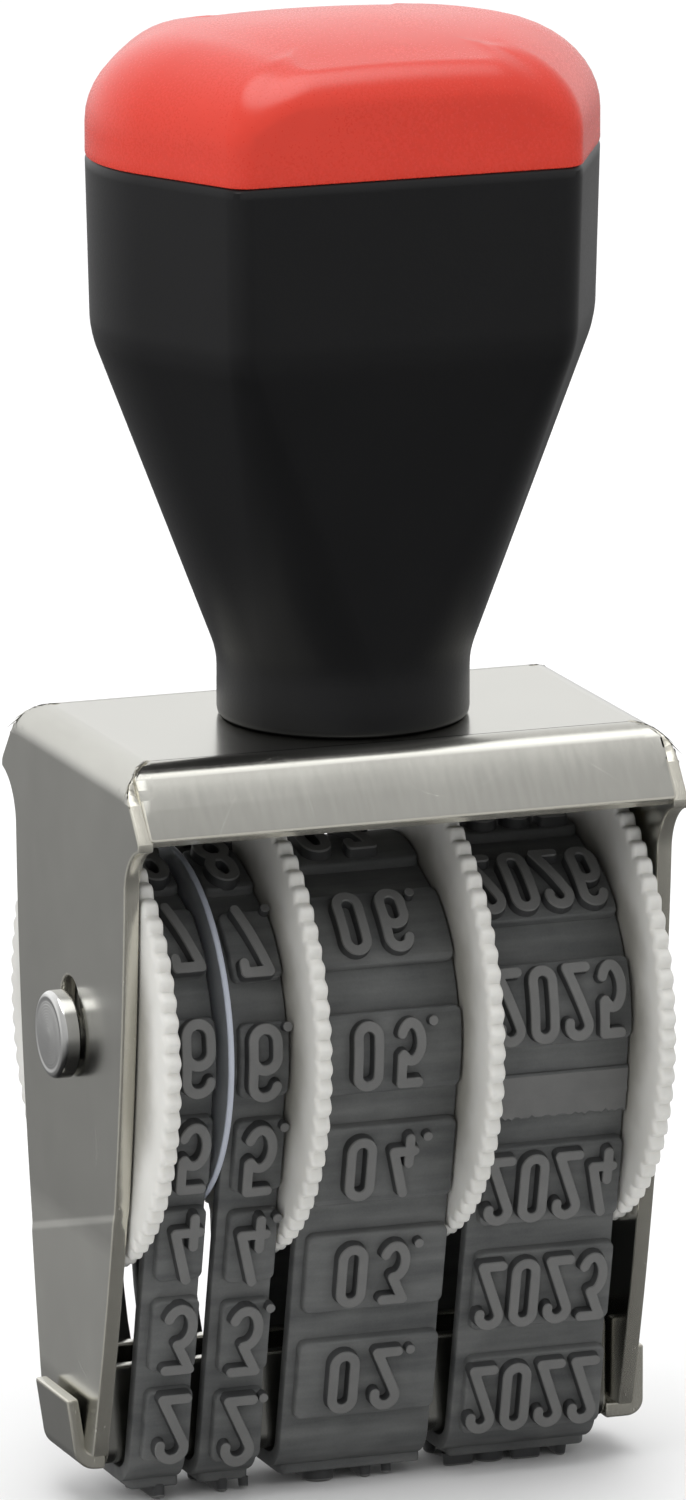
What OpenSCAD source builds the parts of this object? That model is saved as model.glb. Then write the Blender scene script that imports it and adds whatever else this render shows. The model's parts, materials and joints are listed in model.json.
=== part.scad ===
// Band date stamp: four rubber date bands run over thumbwheel drums and a lower bridge,
// in a folded steel frame that hangs under a two-piece plastic handle.
// Millimetres, Z up, X along the axle. The origin lies on the print plane below the axle.

/* [Bands] */
// Width of the band with the tens of the day
tens_band_w = 3.35; // [2.8:0.05:3.8]
// Width of the band with the units of the day
units_band_w = 3.5; // [3.4:0.1:4.2]
// Width of the month band
month_band_w = 8.85; // [7.2:0.05:10.5]
// Width of the year band
year_band_w = 8.8; // [8.5:0.05:10.5]
// Thickness of the running strip of a band
base_t = 0.85; // [0.7:0.05:1.1]
// Height of the pads above the running strip
pad_h = 0.5; // [0.3:0.05:0.8]
// Length along the band of a pad with a day
day_pad_len = 4.3; // [4.2:0.1:5.0]
// Length along the band of a pad with a month or a year
pad_len = 4.7; // [4.4:0.1:5.2]
// Side margin between a pad and the edge of its band
pad_margin = 0.1; // [0.05:0.05:0.3]
// Height of the raised figures above the pads
relief_h = 0.6; // [0.3:0.05:0.9]
// Height of a day figure, read upright
day_digit_h = 4.2; // [3.4:0.1:4.4]
// Width of a day figure
day_digit_w = 1.95; // [1.5:0.05:2.0]
// Height of a month figure
month_digit_h = 3.8; // [3.2:0.1:4.4]
// Width of a month figure
month_digit_w = 1.75; // [1.4:0.05:1.9]
// Height of a year figure
year_digit_h = 4.1; // [3.2:0.1:4.4]
// Width of a year figure
year_digit_w = 1.75; // [1.4:0.05:1.9]
// Width of a figure's stroke
stroke_w = 0.5; // [0.35:0.05:0.6]
// Distance of a full stop from the figure before it
stop_step = 1.36; // [1.1:0.02:1.4]
// Side shift of the tens of the day on their band
tens_shift = 0.4; // [-0.4:0.05:0.4]
// Side shift of the units of the day on their band
units_shift = 0.1; // [-0.4:0.05:0.1]
// Side shift of the months on their band
month_shift = -0.05; // [-0.4:0.05:0.2]
// Distance between the two figures of a month
month_digit_step = 2.5; // [2.2:0.1:2.7]
// Distance between the figures of a year
year_digit_step = 2.02; // [1.95:0.01:2.05]
// Places round a day band
day_places = 14; // [10:1:14]
// Months, and so the places round the month band
month_places = 12; // [12:1:12]
// Years round the year band
year_places = 12; // [8:1:12]
// First year on the band
first_year = 2021; // [2000:1:2080]
// Years between the first one and the joint in the band
years_before_joint = 4; // [1:1:7]
// Figures of a day band before its joint
days_before_joint = 6; // [1:1:9]
// Extra blank length at the joint of a day band
day_joint_len = 0.5; // [0:0.1:6]
// Extra blank length between the last and the first place of a day band
day_end_len = 3.4; // [0:0.1:6]
// Extra blank length at the joint of the month band
month_joint_len = 2.75; // [0:0.05:6]
// Extra blank length at the joint of the year band
year_joint_len = 4.0; // [0:0.1:6]
// How far the month band has been wound past the print position
month_wind = 1.45; // [-1.5:0.05:1.5]
// How far the band with the tens has been wound past the print position
tens_wind = 0.6; // [-1.5:0.1:1.5]
// How far the band with the units has been wound past the print position
units_wind = 0.1; // [-1.5:0.1:1.5]
// How far the year band has been wound past the print position
year_wind = -0.4; // [-1.5:0.1:1.5]

/* [Wheels] */
// Radius of the drums that carry the bands
drum_r = 7.5; // [6.2:0.1:8.4]
// Radius over the teeth of a thumbwheel
rim_r = 13.17; // [11.8:0.01:14.5]
// Thickness of a thumbwheel rim
rim_t = 0.96; // [0.8:0.01:1.2]
// Teeth round a rim
teeth = 72; // [60:4:84]
// Depth of the teeth
tooth_h = 0.4; // [0.15:0.05:0.5]
// Radius of the disc between the day bands
disc_r = 10.3; // [10.0:0.1:11.5]
// Thickness of that disc
disc_t = 0.35; // [0.3:0.05:0.8]
// Side gap between neighbours on the axle
side_gap = 0.1; // [0.08:0.01:0.15]
// Spare side play of the whole row of wheels
end_play = 0.35; // [0.2:0.05:0.5]
// Gap between a band's edge and the rim beside it
band_side_gap = 0.1; // [0.08:0.01:0.3]
// Gap between a band and the drum or bridge under it
band_gap = 0.2; // [0.12:0.02:0.3]

/* [Axle] */
// Radius of the axle
axle_r = 1.5; // [1.2:0.05:2.0]
// Running clearance of the wheels on the axle, on the radius
bore_gap = 0.06; // [0.03:0.01:0.1]
// Radius of the head and of the collar
head_r = 2.45; // [2.2:0.05:3.2]
// Thickness of the head and of the collar
head_t = 1.13; // [0.8:0.01:1.6]
// Gap between the head and the cheek
head_gap = 0.15; // [0.1:0.05:0.3]
// Edge break of the head and of the collar
head_edge = 0.3; // [0.1:0.05:0.4]
// Radius of the stepped end that carries the collar
step_r = 1.1; // [0.8:0.05:1.15]
// Clearance between that end and the collar, on the radius
collar_gap = 0.02; // [0.01:0.01:0.05]
// Clearance of the axle in its slots, on the radius
slot_gap = 0.05; // [0.02:0.01:0.1]
// Height of the slots above the axle
slot_rise = 1.65; // [0.5:0.05:3]

/* [Frame] */
// Height of the axle above the print plane
axle_h = 26.5; // [24:0.1:31.8]
// Height of the top plate's upper face above the axle
top_h = 16.86; // [16.3:0.02:20.3]
// Thickness of the sheet
sheet_t = 0.9; // [0.75:0.05:1.1]
// Outside radius of the bends between top plate and cheeks
side_bend_r = 1.9; // [1.5:0.1:2.6]
// Outside radius of the bends between top plate and flanges
flange_bend_r = 1.6; // [1.2:0.1:2]
// Depth of the top plate between its flange bends
plate_d = 16.96; // [16.2:0.02:20.4]
// Depth over the lower edges of the flanges
flange_d = 22.88; // [22:0.02:27.5]
// Height of the flanges
flange_drop = 3.64; // [3.0:0.02:4.4]
// Width of the slit between a flange and the cheek's edge
slit_w = 0.2; // [0.1:0.05:0.3]
// Width of the cheek's edge strip beside the slit
edge_strip = 0.45; // [0.3:0.05:0.5]
// Depth of a cheek at its waist
waist_d = 18.2; // [17.4:0.1:21.8]
// Depth of a cheek level with the middle of the bands
middle_d = 15.2; // [12.7:0.1:17]
// Depth of a cheek at its lower end
foot_d = 8.4; // [7.4:0.1:10]
// Radius of the hollow curve between flange and waist
hollow_r = 3; // [2.5:0.1:3.4]
// Height of the cheek's tip below the flange
tip_h = 0.5; // [0.2:0.1:1]

/* [Bridge] */
// Depth of the bridge, front to back
bridge_d = 5.4; // [5.0:0.1:6.5]
// Outside radius of its lower corners
bridge_corner_r = 1.1; // [1.0:0.05:1.5]
// Height of its walls
bridge_wall_h = 5.8; // [4.8:0.1:7]
// Height of the hooked lips outside the cheeks
lip_h = 4.1; // [3.4:0.1:5]
// Gap between a lip and the cheek
lip_gap = 0.18; // [0.16:0.02:0.6]
// Side shift of the bridge, which hooks tighter on the right
bridge_shift = -0.14; // [-0.14:0.02:0.14]
// Gap between the ends of the bridge walls and the cheeks
wall_end_gap = 0.3; // [0.1:0.1:0.6]

/* [Handle] */
// Radius of the neck
neck_r = 7.0; // [5.8:0.1:8.2]
// Height of the straight neck
neck_h = 3.6; // [2.5:0.1:5]
// Height of the flare above the neck
flare_h = 18.4; // [15:0.1:22]
// Height of the six-sided grip below the cap
grip_h = 9.8; // [8:0.1:12]
// Width of the grip
grip_w = 29.0; // [24:0.1:34.8]
// Depth of the grip
grip_d = 21.0; // [17.5:0.1:25]
// Width of the flat front and back faces
face_w = 17.8; // [14.8:0.1:19]
// Radius of the four upright edges beside the flat faces
grip_edge_r = 1.7; // [1.4:0.1:2.4]
// Radius of the wide upright rounding at each side of the grip
grip_side_r = 8.5; // [7.5:0.1:9]
// Narrowing of the grip on each side, from the cap down to the flare
grip_draft = 0.25; // [0:0.05:0.5]
// Height of the cap
cap_h = 7.2; // [6.6:0.1:8.6]
// Height of the rounding of the cap's upper edge
cap_round = 4.2; // [3:0.1:4.6]
// How far that rounding reaches in from the front and the back
cap_round_d = 4.1; // [3:0.1:4.4]
// Rise of the cap's crown above the end of that rounding
crown_h = 0.8; // [0.3:0.1:1]
// Size of the flat top of the crown, as a share of the plan
crown_size = 0.22; // [0.15:0.01:0.3]
// Depth of the plug under the cap
plug_h = 2.5; // [1.5:0.1:4]
// Wall left round the plug
plug_wall = 2.4; // [1.8:0.1:3]
// Clearance round the plug
plug_gap = 0.15; // [0.1:0.05:0.3]
// Radius of the screw that holds the handle
screw_r = 2.0; // [1.6:0.1:2.4]
// Length of the screw in the handle
screw_len = 14; // [10:0.5:18]
// Clearance round the screw, on the radius
screw_gap = 0.05; // [0.02:0.01:0.1]
// Radius of the screw's head
screw_head_r = 3.4; // [3.0:0.1:4]
// Height of the screw's head
screw_head_h = 1.3; // [1:0.1:1.4]
// Radius of the washer under that head
washer_r = 4.0; // [3.4:0.1:4.6]
// Thickness of that washer
washer_t = 0.5; // [0.4:0.05:0.6]

/* [Hidden] */
$fn = 48;

// Steps in the arcs of a band's corners and drum, and in an edge of the grip
corner_steps = 8;
drum_steps = 36;
grip_steps = 6;
// Overlap of pieces that are joined into one solid
sink = 0.3;
// A length that reaches past the whole stamp
far = 100;

// Row of wheels along the axle, from the left cheek to the right one
tens_drum = tens_band_w + 2 * band_side_gap;
units_drum = units_band_w + 2 * band_side_gap;
month_drum = month_band_w + 2 * band_side_gap;
year_drum = year_band_w + 2 * band_side_gap;
inner_w = 4 * rim_t + tens_drum + units_drum + month_drum + year_drum + disc_t
    + 5 * side_gap + end_play;
inner_x = inner_w / 2;
cheek_x = inner_x + sheet_t;
tens_rim_x = -inner_x + side_gap;
tens_drum_x = tens_rim_x + rim_t;
disc_x = tens_drum_x + tens_drum + side_gap;
units_drum_x = disc_x + disc_t + side_gap;
units_rim_x = units_drum_x + units_drum;
month_drum_x = units_rim_x + rim_t + side_gap;
month_rim_x = month_drum_x + month_drum;
year_drum_x = month_rim_x + rim_t + side_gap;
year_rim_x = year_drum_x + year_drum;

// Levels of the frame, the bridge and the handle
top_z = axle_h + top_h;
bridge_z = relief_h + pad_h + base_t + band_gap;
foot_z = bridge_z + sheet_t;
neck_top_z = top_z + neck_h;
shoulder_z = neck_top_z + flare_h;
cap_z = shoulder_z + grip_h;

// Closed path of the inner face of a band: a drum above and two bridge corners below
drum_path_r = drum_r + band_gap;
corner_path_r = bridge_corner_r + band_gap;
corner_y = bridge_d / 2 - bridge_corner_r;
corner_z = bridge_z + bridge_corner_r;
centre_drop = axle_h - corner_z;
centre_gap = norm([corner_y, centre_drop]);
lean = 90 - acos((drum_path_r - corner_path_r) / centre_gap) - atan(corner_y / centre_drop);
run = sqrt(pow(centre_gap, 2) - pow(drum_path_r - corner_path_r, 2));
run_normal = [-cos(lean), -sin(lean)];

// Lengths along the middle of the running strip
pitch = base_t / 2;
corner_arc = (corner_path_r + pitch) * (90 - lean) * PI / 180;
drum_arc = (drum_path_r + pitch) * (180 + 2 * lean) * PI / 180;
loop_len = 2 * (corner_y + corner_arc + run) + drum_arc;

// Place on the path for a length from the print position, up the front: [y, z, turn]
function front_place(s) =
    s <= corner_y ? [-s, bridge_z - band_gap - pitch, 0] :
    s <= corner_y + corner_arc ?
        let (a = (s - corner_y) / (corner_path_r + pitch) * 180 / PI, r = corner_path_r + pitch)
        [-corner_y - r * sin(a), corner_z - r * cos(a), a] :
    s <= corner_y + corner_arc + run ?
        let (u = s - corner_y - corner_arc, r = corner_path_r + pitch)
        [-corner_y + r * run_normal.x - u * sin(lean), corner_z + r * run_normal.y + u * cos(lean),
         90 - lean] :
    let (r = drum_path_r + pitch, a = 90 - lean + (s - corner_y - corner_arc - run) / r * 180 / PI)
    [-r * sin(a), axle_h - r * cos(a), a];

// The same for any length: the back half mirrors the front half
function band_place(s) =
    let (t = s - loop_len * round(s / loop_len), p = front_place(abs(t)))
    t < 0 ? [-p.x, p.y, -p.z] : p;

// Points of an arc about c from direction a to b, in n steps
function arc_points(c, r, a, b, n) =
    [for (i = [0:n]) let (t = a + (b - a) * i / n) c + r * [cos(t), sin(t)]];

// Extrudes an outline drawn in Y and Z along X, centred
module along_x(length) rotate([90, 0, 90]) linear_extrude(length, center = true) children();

// Extrudes an outline drawn in X and Z along Y, centred
module along_y(length) rotate([90, 0, 0]) linear_extrude(length, center = true) children();

// A round bar along X from a to b at the height of the axle
module rod(r, a, b) translate([a, 0, axle_h]) rotate([0, 90, 0]) cylinder(r = r, h = b - a);

// The two mirror-image halves of a piece, in the direction given
module both(direction) {
    children();
    mirror(direction) children();
}

// Frame

// Outer outline of the folded channel in X and Z, grown inwards by inset
module channel_outline(inset) {
    half = cheek_x - inset;
    bend = side_bend_r - inset;
    top = top_z - inset;
    translate([-half, 0]) square([2 * half, top - bend]);
    translate([bend - half, 0]) square([2 * (half - bend), top]);
    both([1, 0]) translate([half - bend, top - bend]) circle(bend);
}

// Point of the curved edge of a cheek, from the waist (0) to the foot (1)
function cheek_edge(t, a, b, c) = (1 - t) * (1 - t) * a + 2 * t * (1 - t) * b + t * t * c;

hollow_z = top_z - flange_drop - tip_h - hollow_r;
middle_z = (hollow_z + foot_z) / 2;
edge_steps = 10;

// Side view of a cheek in Y and Z
module cheek_outline() {
    waist = [waist_d / 2, hollow_z];
    foot = [foot_d / 2, foot_z];
    pull = [middle_d - (waist.x + foot.x) / 2, middle_z];
    edge = [for (i = [0:edge_steps]) cheek_edge(i / edge_steps, waist, pull, foot)];
    both([1, 0]) difference() {
        polygon(concat(
            [[0, foot_z], [0, top_z], [plate_d / 2, top_z], [flange_d / 2, top_z - flange_drop],
             [flange_d / 2, hollow_z]],
            edge));
        translate([waist_d / 2 + hollow_r, hollow_z]) circle(hollow_r);
    }
}

flange_run = norm([(flange_d - plate_d) / 2, flange_drop]);
flange_way = [(flange_d - plate_d) / 2, -flange_drop] / flange_run;
flange_in = [flange_way.y, -flange_way.x];
flange_turn = atan2(flange_drop, (flange_d - plate_d) / 2);
bend_len = flange_bend_r * tan(flange_turn / 2);
bend_y = plate_d / 2 - bend_len;

// Side view of the front or back flange with its bend
module flange_outline() {
    corner = [plate_d / 2, top_z];
    start = corner + bend_len * flange_way;
    tip = corner + flange_run * flange_way;
    polygon([start, tip, tip + sheet_t * flange_in, start + sheet_t * flange_in]);
    translate([bend_y, top_z - flange_bend_r]) intersection() {
        difference() {
            circle(flange_bend_r);
            circle(flange_bend_r - sheet_t);
        }
        polygon([[0, 0], [0, far], far * [cos(90 - flange_turn), sin(90 - flange_turn)]]);
    }
}

slit_x = cheek_x - edge_strip - slit_w;

// The slit that parts a flange from the edge of the cheek beside it
module flange_slit() {
    corner = [plate_d / 2, top_z];
    tip = corner + (flange_run + sheet_t) * flange_way;
    depth = 2 * sheet_t * flange_in;
    translate([slit_x + slit_w / 2, 0, 0]) along_x(slit_w)
        polygon([corner - depth, tip - depth, tip + depth / 2, corner + depth / 2]);
}

// The upright slot in both cheeks for the axle
module axle_slots() {
    r = axle_r + slot_gap;
    rod(r, -far, far);
    translate([0, 0, slot_rise]) rod(r, -far, far);
    along_x(2 * far) translate([-r, axle_h]) square([2 * r, slot_rise]);
}

module frame() color("gainsboro") difference() {
    union() {
        intersection() {
            along_y(far) difference() {
                channel_outline(0);
                channel_outline(sheet_t);
            }
            union() {
                along_x(far) cheek_outline();
            }
            union() {
                along_y(2 * bend_y) square([far, 2 * far], center = true);
                both([1, 0, 0]) translate([inner_x, -far / 2, 0]) cube([far, far, far]);
            }
        }
        intersection() {
            along_x(2 * slit_x) both([1, 0]) flange_outline();
            along_y(far) channel_outline(0);
        }
    }
    both([1, 0, 0]) both([0, 1, 0]) flange_slit();
    axle_slots();
    translate([0, 0, top_z - 2 * sheet_t]) cylinder(r = screw_r + screw_gap, h = 3 * sheet_t);
}

// Bridge

lip_x = cheek_x + lip_gap + sheet_t;
// The bend below a lip just clears the edge of the cheek that stands in it
lip_bend_r = sheet_t + lip_gap - abs(bridge_shift);
wall_x = inner_x - wall_end_gap;

// Filled cross-section of the bridge in Y and Z, grown inwards by inset
module bridge_outline(inset) {
    half = bridge_d / 2 - inset;
    r = bridge_corner_r - inset;
    low = bridge_z + inset;
    translate([-half, low + r]) square([2 * half, bridge_wall_h - inset - r]);
    translate([r - half, low]) square([2 * (half - r), bridge_wall_h - inset]);
    both([1, 0]) translate([half - r, low + r]) circle(r);
}

// Side view of the strip that runs under a cheek and hooks up outside it, in X and Z
module hook_outline() {
    bend = [lip_x - lip_bend_r, bridge_z + lip_bend_r];
    translate([wall_x - sink, bridge_z]) square([bend.x - wall_x + sink, sheet_t]);
    translate([lip_x - sheet_t, bend.y]) square([sheet_t, lip_h - lip_bend_r]);
    translate(bend) intersection() {
        difference() {
            circle(lip_bend_r);
            circle(lip_bend_r - sheet_t);
        }
        translate([0, -far]) square(far);
    }
}

module bridge() color("silver") translate([bridge_shift, 0, 0]) {
    along_x(2 * wall_x) difference() {
        bridge_outline(0);
        bridge_outline(sheet_t);
        translate([0, bridge_z + bridge_wall_h]) square([bridge_d - 2 * sheet_t, sheet_t], center = true);
    }
    both([1, 0, 0]) along_y(bridge_d) hook_outline();
}

// Axle

head_x = cheek_x + head_gap;
end_x = head_x + head_t;

// A turned disc along X from a to b with its far edge broken
module turned_head(a, b) {
    rod(head_r, a, b - sign(b) * head_edge);
    translate([b - sign(b) * head_edge, 0, axle_h]) rotate([0, sign(b) * 90, 0])
        cylinder(r1 = head_r, r2 = head_r - head_edge, h = head_edge);
}

module axle() color("lightgray") {
    mirror([1, 0, 0]) turned_head(head_x, end_x);
    rod(axle_r, -head_x - sink, head_x);
    rod(step_r, 0, end_x);
}

module axle_collar() color("lightgray") difference() {
    turned_head(head_x, end_x);
    rod(step_r + collar_gap, 0, far);
}

// Thumbwheels and disc

// Toothed outline of a rim: each tooth has a tip, two flanks and a root
tooth_a = 360 / teeth;
rim_points = [for (i = [0:teeth - 1], p = [[-0.2, 0], [0.2, 0], [0.35, tooth_h], [0.65, tooth_h]])
    (rim_r - p.y) * [cos((i + p.x) * tooth_a), sin((i + p.x) * tooth_a)]];

// One moulding: a drum from drum_x and a toothed rim at rim_x, on a common bore
module thumbwheel(drum_x, drum_len, rim_x) color("white") difference() {
    union() {
        rod(drum_r, min(drum_x, rim_x), max(drum_x + drum_len, rim_x + rim_t));
        translate([rim_x + rim_t / 2, 0, axle_h]) along_x(rim_t) polygon(rim_points);
    }
    rod(axle_r + bore_gap, -far, far);
}

module tens_wheel() thumbwheel(tens_drum_x, tens_drum, tens_rim_x);
module units_wheel() thumbwheel(units_drum_x, units_drum, units_rim_x);
module month_wheel() thumbwheel(month_drum_x, month_drum, month_rim_x);
module year_wheel() thumbwheel(year_drum_x, year_drum, year_rim_x);

module separator_disc() color("aliceblue") difference() {
    rod(disc_r, disc_x, disc_x + disc_t);
    rod(axle_r + bore_gap, -far, far);
}

// Bands

// Area inside the closed path, grown outwards by grow
module path_area(grow) {
    corner = corner_path_r + grow;
    polygon(concat(
        arc_points([corner_y, corner_z], corner, -90, -lean, corner_steps),
        arc_points([0, axle_h], drum_path_r + grow, -lean, 180 + lean, drum_steps),
        arc_points([-corner_y, corner_z], corner, 180 + lean, 270, corner_steps)));
}

// Centre lines of the figures 0 to 9 on a cell of 1 by 1
FIGURES = [
    [[0.3, 0], [0.7, 0], [1, 0.2], [1, 0.8], [0.7, 1], [0.3, 1], [0, 0.8], [0, 0.2], [0.3, 0]],
    [[0.1, 0.75], [0.5, 1], [0.5, 0]],
    [[0, 0.75], [0.3, 1], [0.7, 1], [1, 0.75], [1, 0.6], [0, 0], [1, 0]],
    [[0, 1], [1, 1], [0.4, 0.6], [0.75, 0.58], [1, 0.4], [1, 0.2], [0.7, 0], [0.3, 0], [0, 0.2]],
    [[0.55, 1], [0, 0.23], [0.75, 0.23], [0.75, 0.46], [0.75, 0], [0.75, 0.23], [1, 0.23]],
    [[0.9, 1], [0.1, 1], [0.05, 0.55], [0.7, 0.6], [1, 0.4], [1, 0.2], [0.7, 0], [0.3, 0], [0, 0.15]],
    [[0.7, 1], [0.1, 0.5], [0, 0.25], [0.3, 0], [0.7, 0], [1, 0.25], [0.7, 0.55], [0.15, 0.55]],
    [[0, 0.84], [0, 1], [1, 1], [0.2, 0]],
    [[0.3, 0.55], [0, 0.3], [0.3, 0], [0.7, 0], [1, 0.3], [0.7, 0.55], [0.3, 0.55], [0.05, 0.8],
     [0.3, 1], [0.7, 1], [0.95, 0.8], [0.7, 0.55]],
    [[0.3, 0], [0.9, 0.5], [1, 0.75], [0.7, 1], [0.3, 1], [0, 0.75], [0.3, 0.45], [0.85, 0.45]]
];

// One straight stroke between two points, run past them so that strokes join
module stroke(a, b) {
    d = b - a;
    translate((a + b) / 2) rotate(atan2(d.y, d.x))
        square([norm(d) + stroke_w / 2, stroke_w], center = true);
}

// A figure of the size given, centred
module figure(d, size) {
    cell = [size.x - stroke_w, size.y - stroke_w];
    points = [for (p = FIGURES[d]) [(p.x - 0.5) * cell.x, (p.y - 0.5) * cell.y]];
    for (i = [1:len(points) - 1]) stroke(points[i - 1], points[i]);
}

// A full stop on the base line of figures of height h
module full_stop(h) translate([0, (stroke_w - h) / 2]) square(stroke_w, center = true);

// A row of figures along X, centred, with the distance step between them
module figures(digits, step, size)
    for (i = [0:len(digits) - 1]) translate([(i - (len(digits) - 1) / 2) * step, 0]) figure(digits[i], size);

// Running strip of a band that begins at x
module band_strip(x, w) translate([x + w / 2, 0, 0]) along_x(w) difference() {
    path_area(base_t);
    path_area(0);
}

// A pad of length len at length s along a band, with the children as raised figures on it
module band_pad(x, w, s, len) {
    p = band_place(s);
    pad_w = w - 2 * pad_margin;
    translate([x + w / 2, p.x, p.y]) rotate([-p.z, 0, 0]) translate([0, 0, -pitch]) {
        translate([-pad_w / 2, -len / 2, -pad_h]) cube([pad_w, len, pad_h + sink]);
        translate([0, 0, -pad_h - relief_h]) linear_extrude(relief_h + sink / 2) children();
    }
}

day_step = (loop_len - day_joint_len - day_end_len) / day_places;
month_step = (loop_len - month_joint_len) / month_places;
year_step = (loop_len - year_joint_len) / year_places;
tens_band_x = tens_drum_x + band_side_gap;
units_band_x = units_drum_x + band_side_gap;
month_band_x = month_drum_x + band_side_gap;
year_band_x = year_drum_x + band_side_gap;
// Figures on a day band: 1 to 9 and 0, then blank pads
day_figures = 10;
day_size = [day_digit_w, day_digit_h];
month_size = [month_digit_w, month_digit_h];
year_size = [year_digit_w, year_digit_h];

// Length from the first place to a place on a day band
function day_place(i) = i * day_step + (i < days_before_joint ? 0 : day_joint_len);

module tens_band() color("dimgray") {
    band_strip(tens_band_x, tens_band_w);
    for (i = [0:day_places - 1]) band_pad(tens_band_x, tens_band_w, day_place(i) + tens_wind, day_pad_len)
        if (i < day_figures) translate([tens_shift, 0]) figure((i + 1) % 10, day_size);
}

module units_band() color("dimgray") {
    band_strip(units_band_x, units_band_w);
    for (i = [0:day_places - 1]) band_pad(units_band_x, units_band_w, day_place(i) + units_wind, day_pad_len)
        if (i < day_figures) translate([units_shift, 0]) {
            figure((i + 1) % 10, day_size);
            translate([stop_step, 0]) full_stop(day_digit_h);
        }
}

module month_band() color("dimgray") {
    band_strip(month_band_x, month_band_w);
    for (i = [0:month_places - 1]) band_pad(month_band_x, month_band_w, i * month_step + month_wind, pad_len)
        translate([month_shift, 0]) {
            figures([floor((i + 1) / 10), (i + 1) % 10], month_digit_step, month_size);
            translate([month_digit_step / 2 + stop_step, 0]) full_stop(month_digit_h);
        }
}

module year_band() color("dimgray") {
    band_strip(year_band_x, year_band_w);
    for (i = [0:year_places - 1]) {
        year = first_year + i;
        joint = i < years_before_joint ? 0 : year_joint_len;
        band_pad(year_band_x, year_band_w, i * year_step + joint + year_wind, pad_len)
            figures([for (k = [3:-1:0]) floor(year / pow(10, k)) % 10], year_digit_step, year_size);
    }
}

// Handle

// Centres of the roundings of the grip, and the direction in which its slanted sides face
side_x = grip_w / 2 - grip_side_r;
face_x = face_w / 2;
face_y = grip_d / 2 - grip_edge_r;
slant = atan2(face_y, face_x - side_x)
    - acos((grip_side_r - grip_edge_r) / norm([face_x - side_x, face_y]));

// Rounded upright edge beside a flat face, between two directions
function face_edge(x, y, a, b) = arc_points([x, y], grip_edge_r, a, b, grip_steps);

// Wide rounding at one side, between two directions
function side_edge(x, a, b) = arc_points([x, 0], grip_side_r, a, b, grip_steps);

grip_points = concat(
    side_edge(side_x, -slant, slant),
    face_edge(face_x, face_y, slant, 90),
    face_edge(-face_x, face_y, 90, 180 - slant),
    side_edge(-side_x, 180 - slant, 180 + slant),
    face_edge(-face_x, -face_y, 180 + slant, 270),
    face_edge(face_x, -face_y, 270, 360 - slant));

// Plan of the grip, drawn in by inset at its sides and faces
module grip_plan(inset) {
    k = [1 - 2 * inset / grip_w, 1 - 2 * inset / grip_d];
    polygon([for (p = grip_points) [p.x * k.x, p.y * k.y]]);
}

// A thin slice of the grip at height z
slice = 0.01;
module grip_slice(z, inset) translate([0, 0, z]) linear_extrude(slice) grip_plan(inset);

module handle_body() color("black") difference() {
    union() {
        translate([0, 0, top_z]) cylinder(r = neck_r, h = neck_h);
        hull() {
            translate([0, 0, neck_top_z]) cylinder(r = neck_r, h = slice);
            grip_slice(shoulder_z, grip_draft);
            grip_slice(cap_z - slice, 0);
        }
    }
    translate([0, 0, cap_z - plug_h - plug_gap]) linear_extrude(plug_h + sink) grip_plan(plug_wall);
    translate([0, 0, top_z - sink]) cylinder(r = screw_r + screw_gap, h = screw_len + 2 * sink);
}

cap_steps = 6;
cap_side = cap_h - cap_round - crown_h;

// Heights on the cap and the size of its plan there, from its foot to the top of its crown
cap_levels = concat([[0, 1]],
    [for (i = [0:cap_steps]) let (a = 90 * i / cap_steps)
        [cap_side + cap_round * sin(a), 1 - 2 * cap_round_d * (1 - cos(a)) / grip_d]],
    [[cap_h, crown_size]]);

// The cap's dome: the plan drawn at each level, with flat faces between the levels
module cap_dome() {
    n = len(grip_points);
    top = len(cap_levels) - 1;
    points = [for (level = cap_levels, p = grip_points) [level.y * p.x, level.y * p.y, level.x]];
    sides = [for (j = [0:top - 1], i = [0:n - 1]) let (a = j * n + i, b = j * n + (i + 1) % n)
        [a, a + n, b + n, b]];
    ends = [[for (i = [0:n - 1]) i], [for (i = [n - 1:-1:0]) top * n + i]];
    polyhedron(points, concat(sides, ends));
}

module handle_cap() color("indianred") {
    translate([0, 0, cap_z]) cap_dome();
    translate([0, 0, cap_z - plug_h]) linear_extrude(plug_h + sink) grip_plan(plug_wall + plug_gap);
}

under_z = top_z - sheet_t;

module handle_screw() color("lightgray") {
    translate([0, 0, under_z - washer_t - screw_head_h]) cylinder(r = screw_head_r, h = screw_head_h);
    translate([0, 0, under_z - washer_t - sink]) cylinder(r = screw_r, h = sheet_t + washer_t + screw_len);
}

module screw_washer() color("lightgray") translate([0, 0, under_z - washer_t]) difference() {
    cylinder(r = washer_r, h = washer_t);
    translate([0, 0, -sink]) cylinder(r = screw_r + screw_gap, h = washer_t + 2 * sink);
}

frame();
bridge();
axle();
axle_collar();
tens_wheel();
separator_disc();
units_wheel();
month_wheel();
year_wheel();
tens_band();
units_band();
month_band();
year_band();
handle_body();
handle_cap();
handle_screw();
screw_washer();
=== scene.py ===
import json
import math

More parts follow.
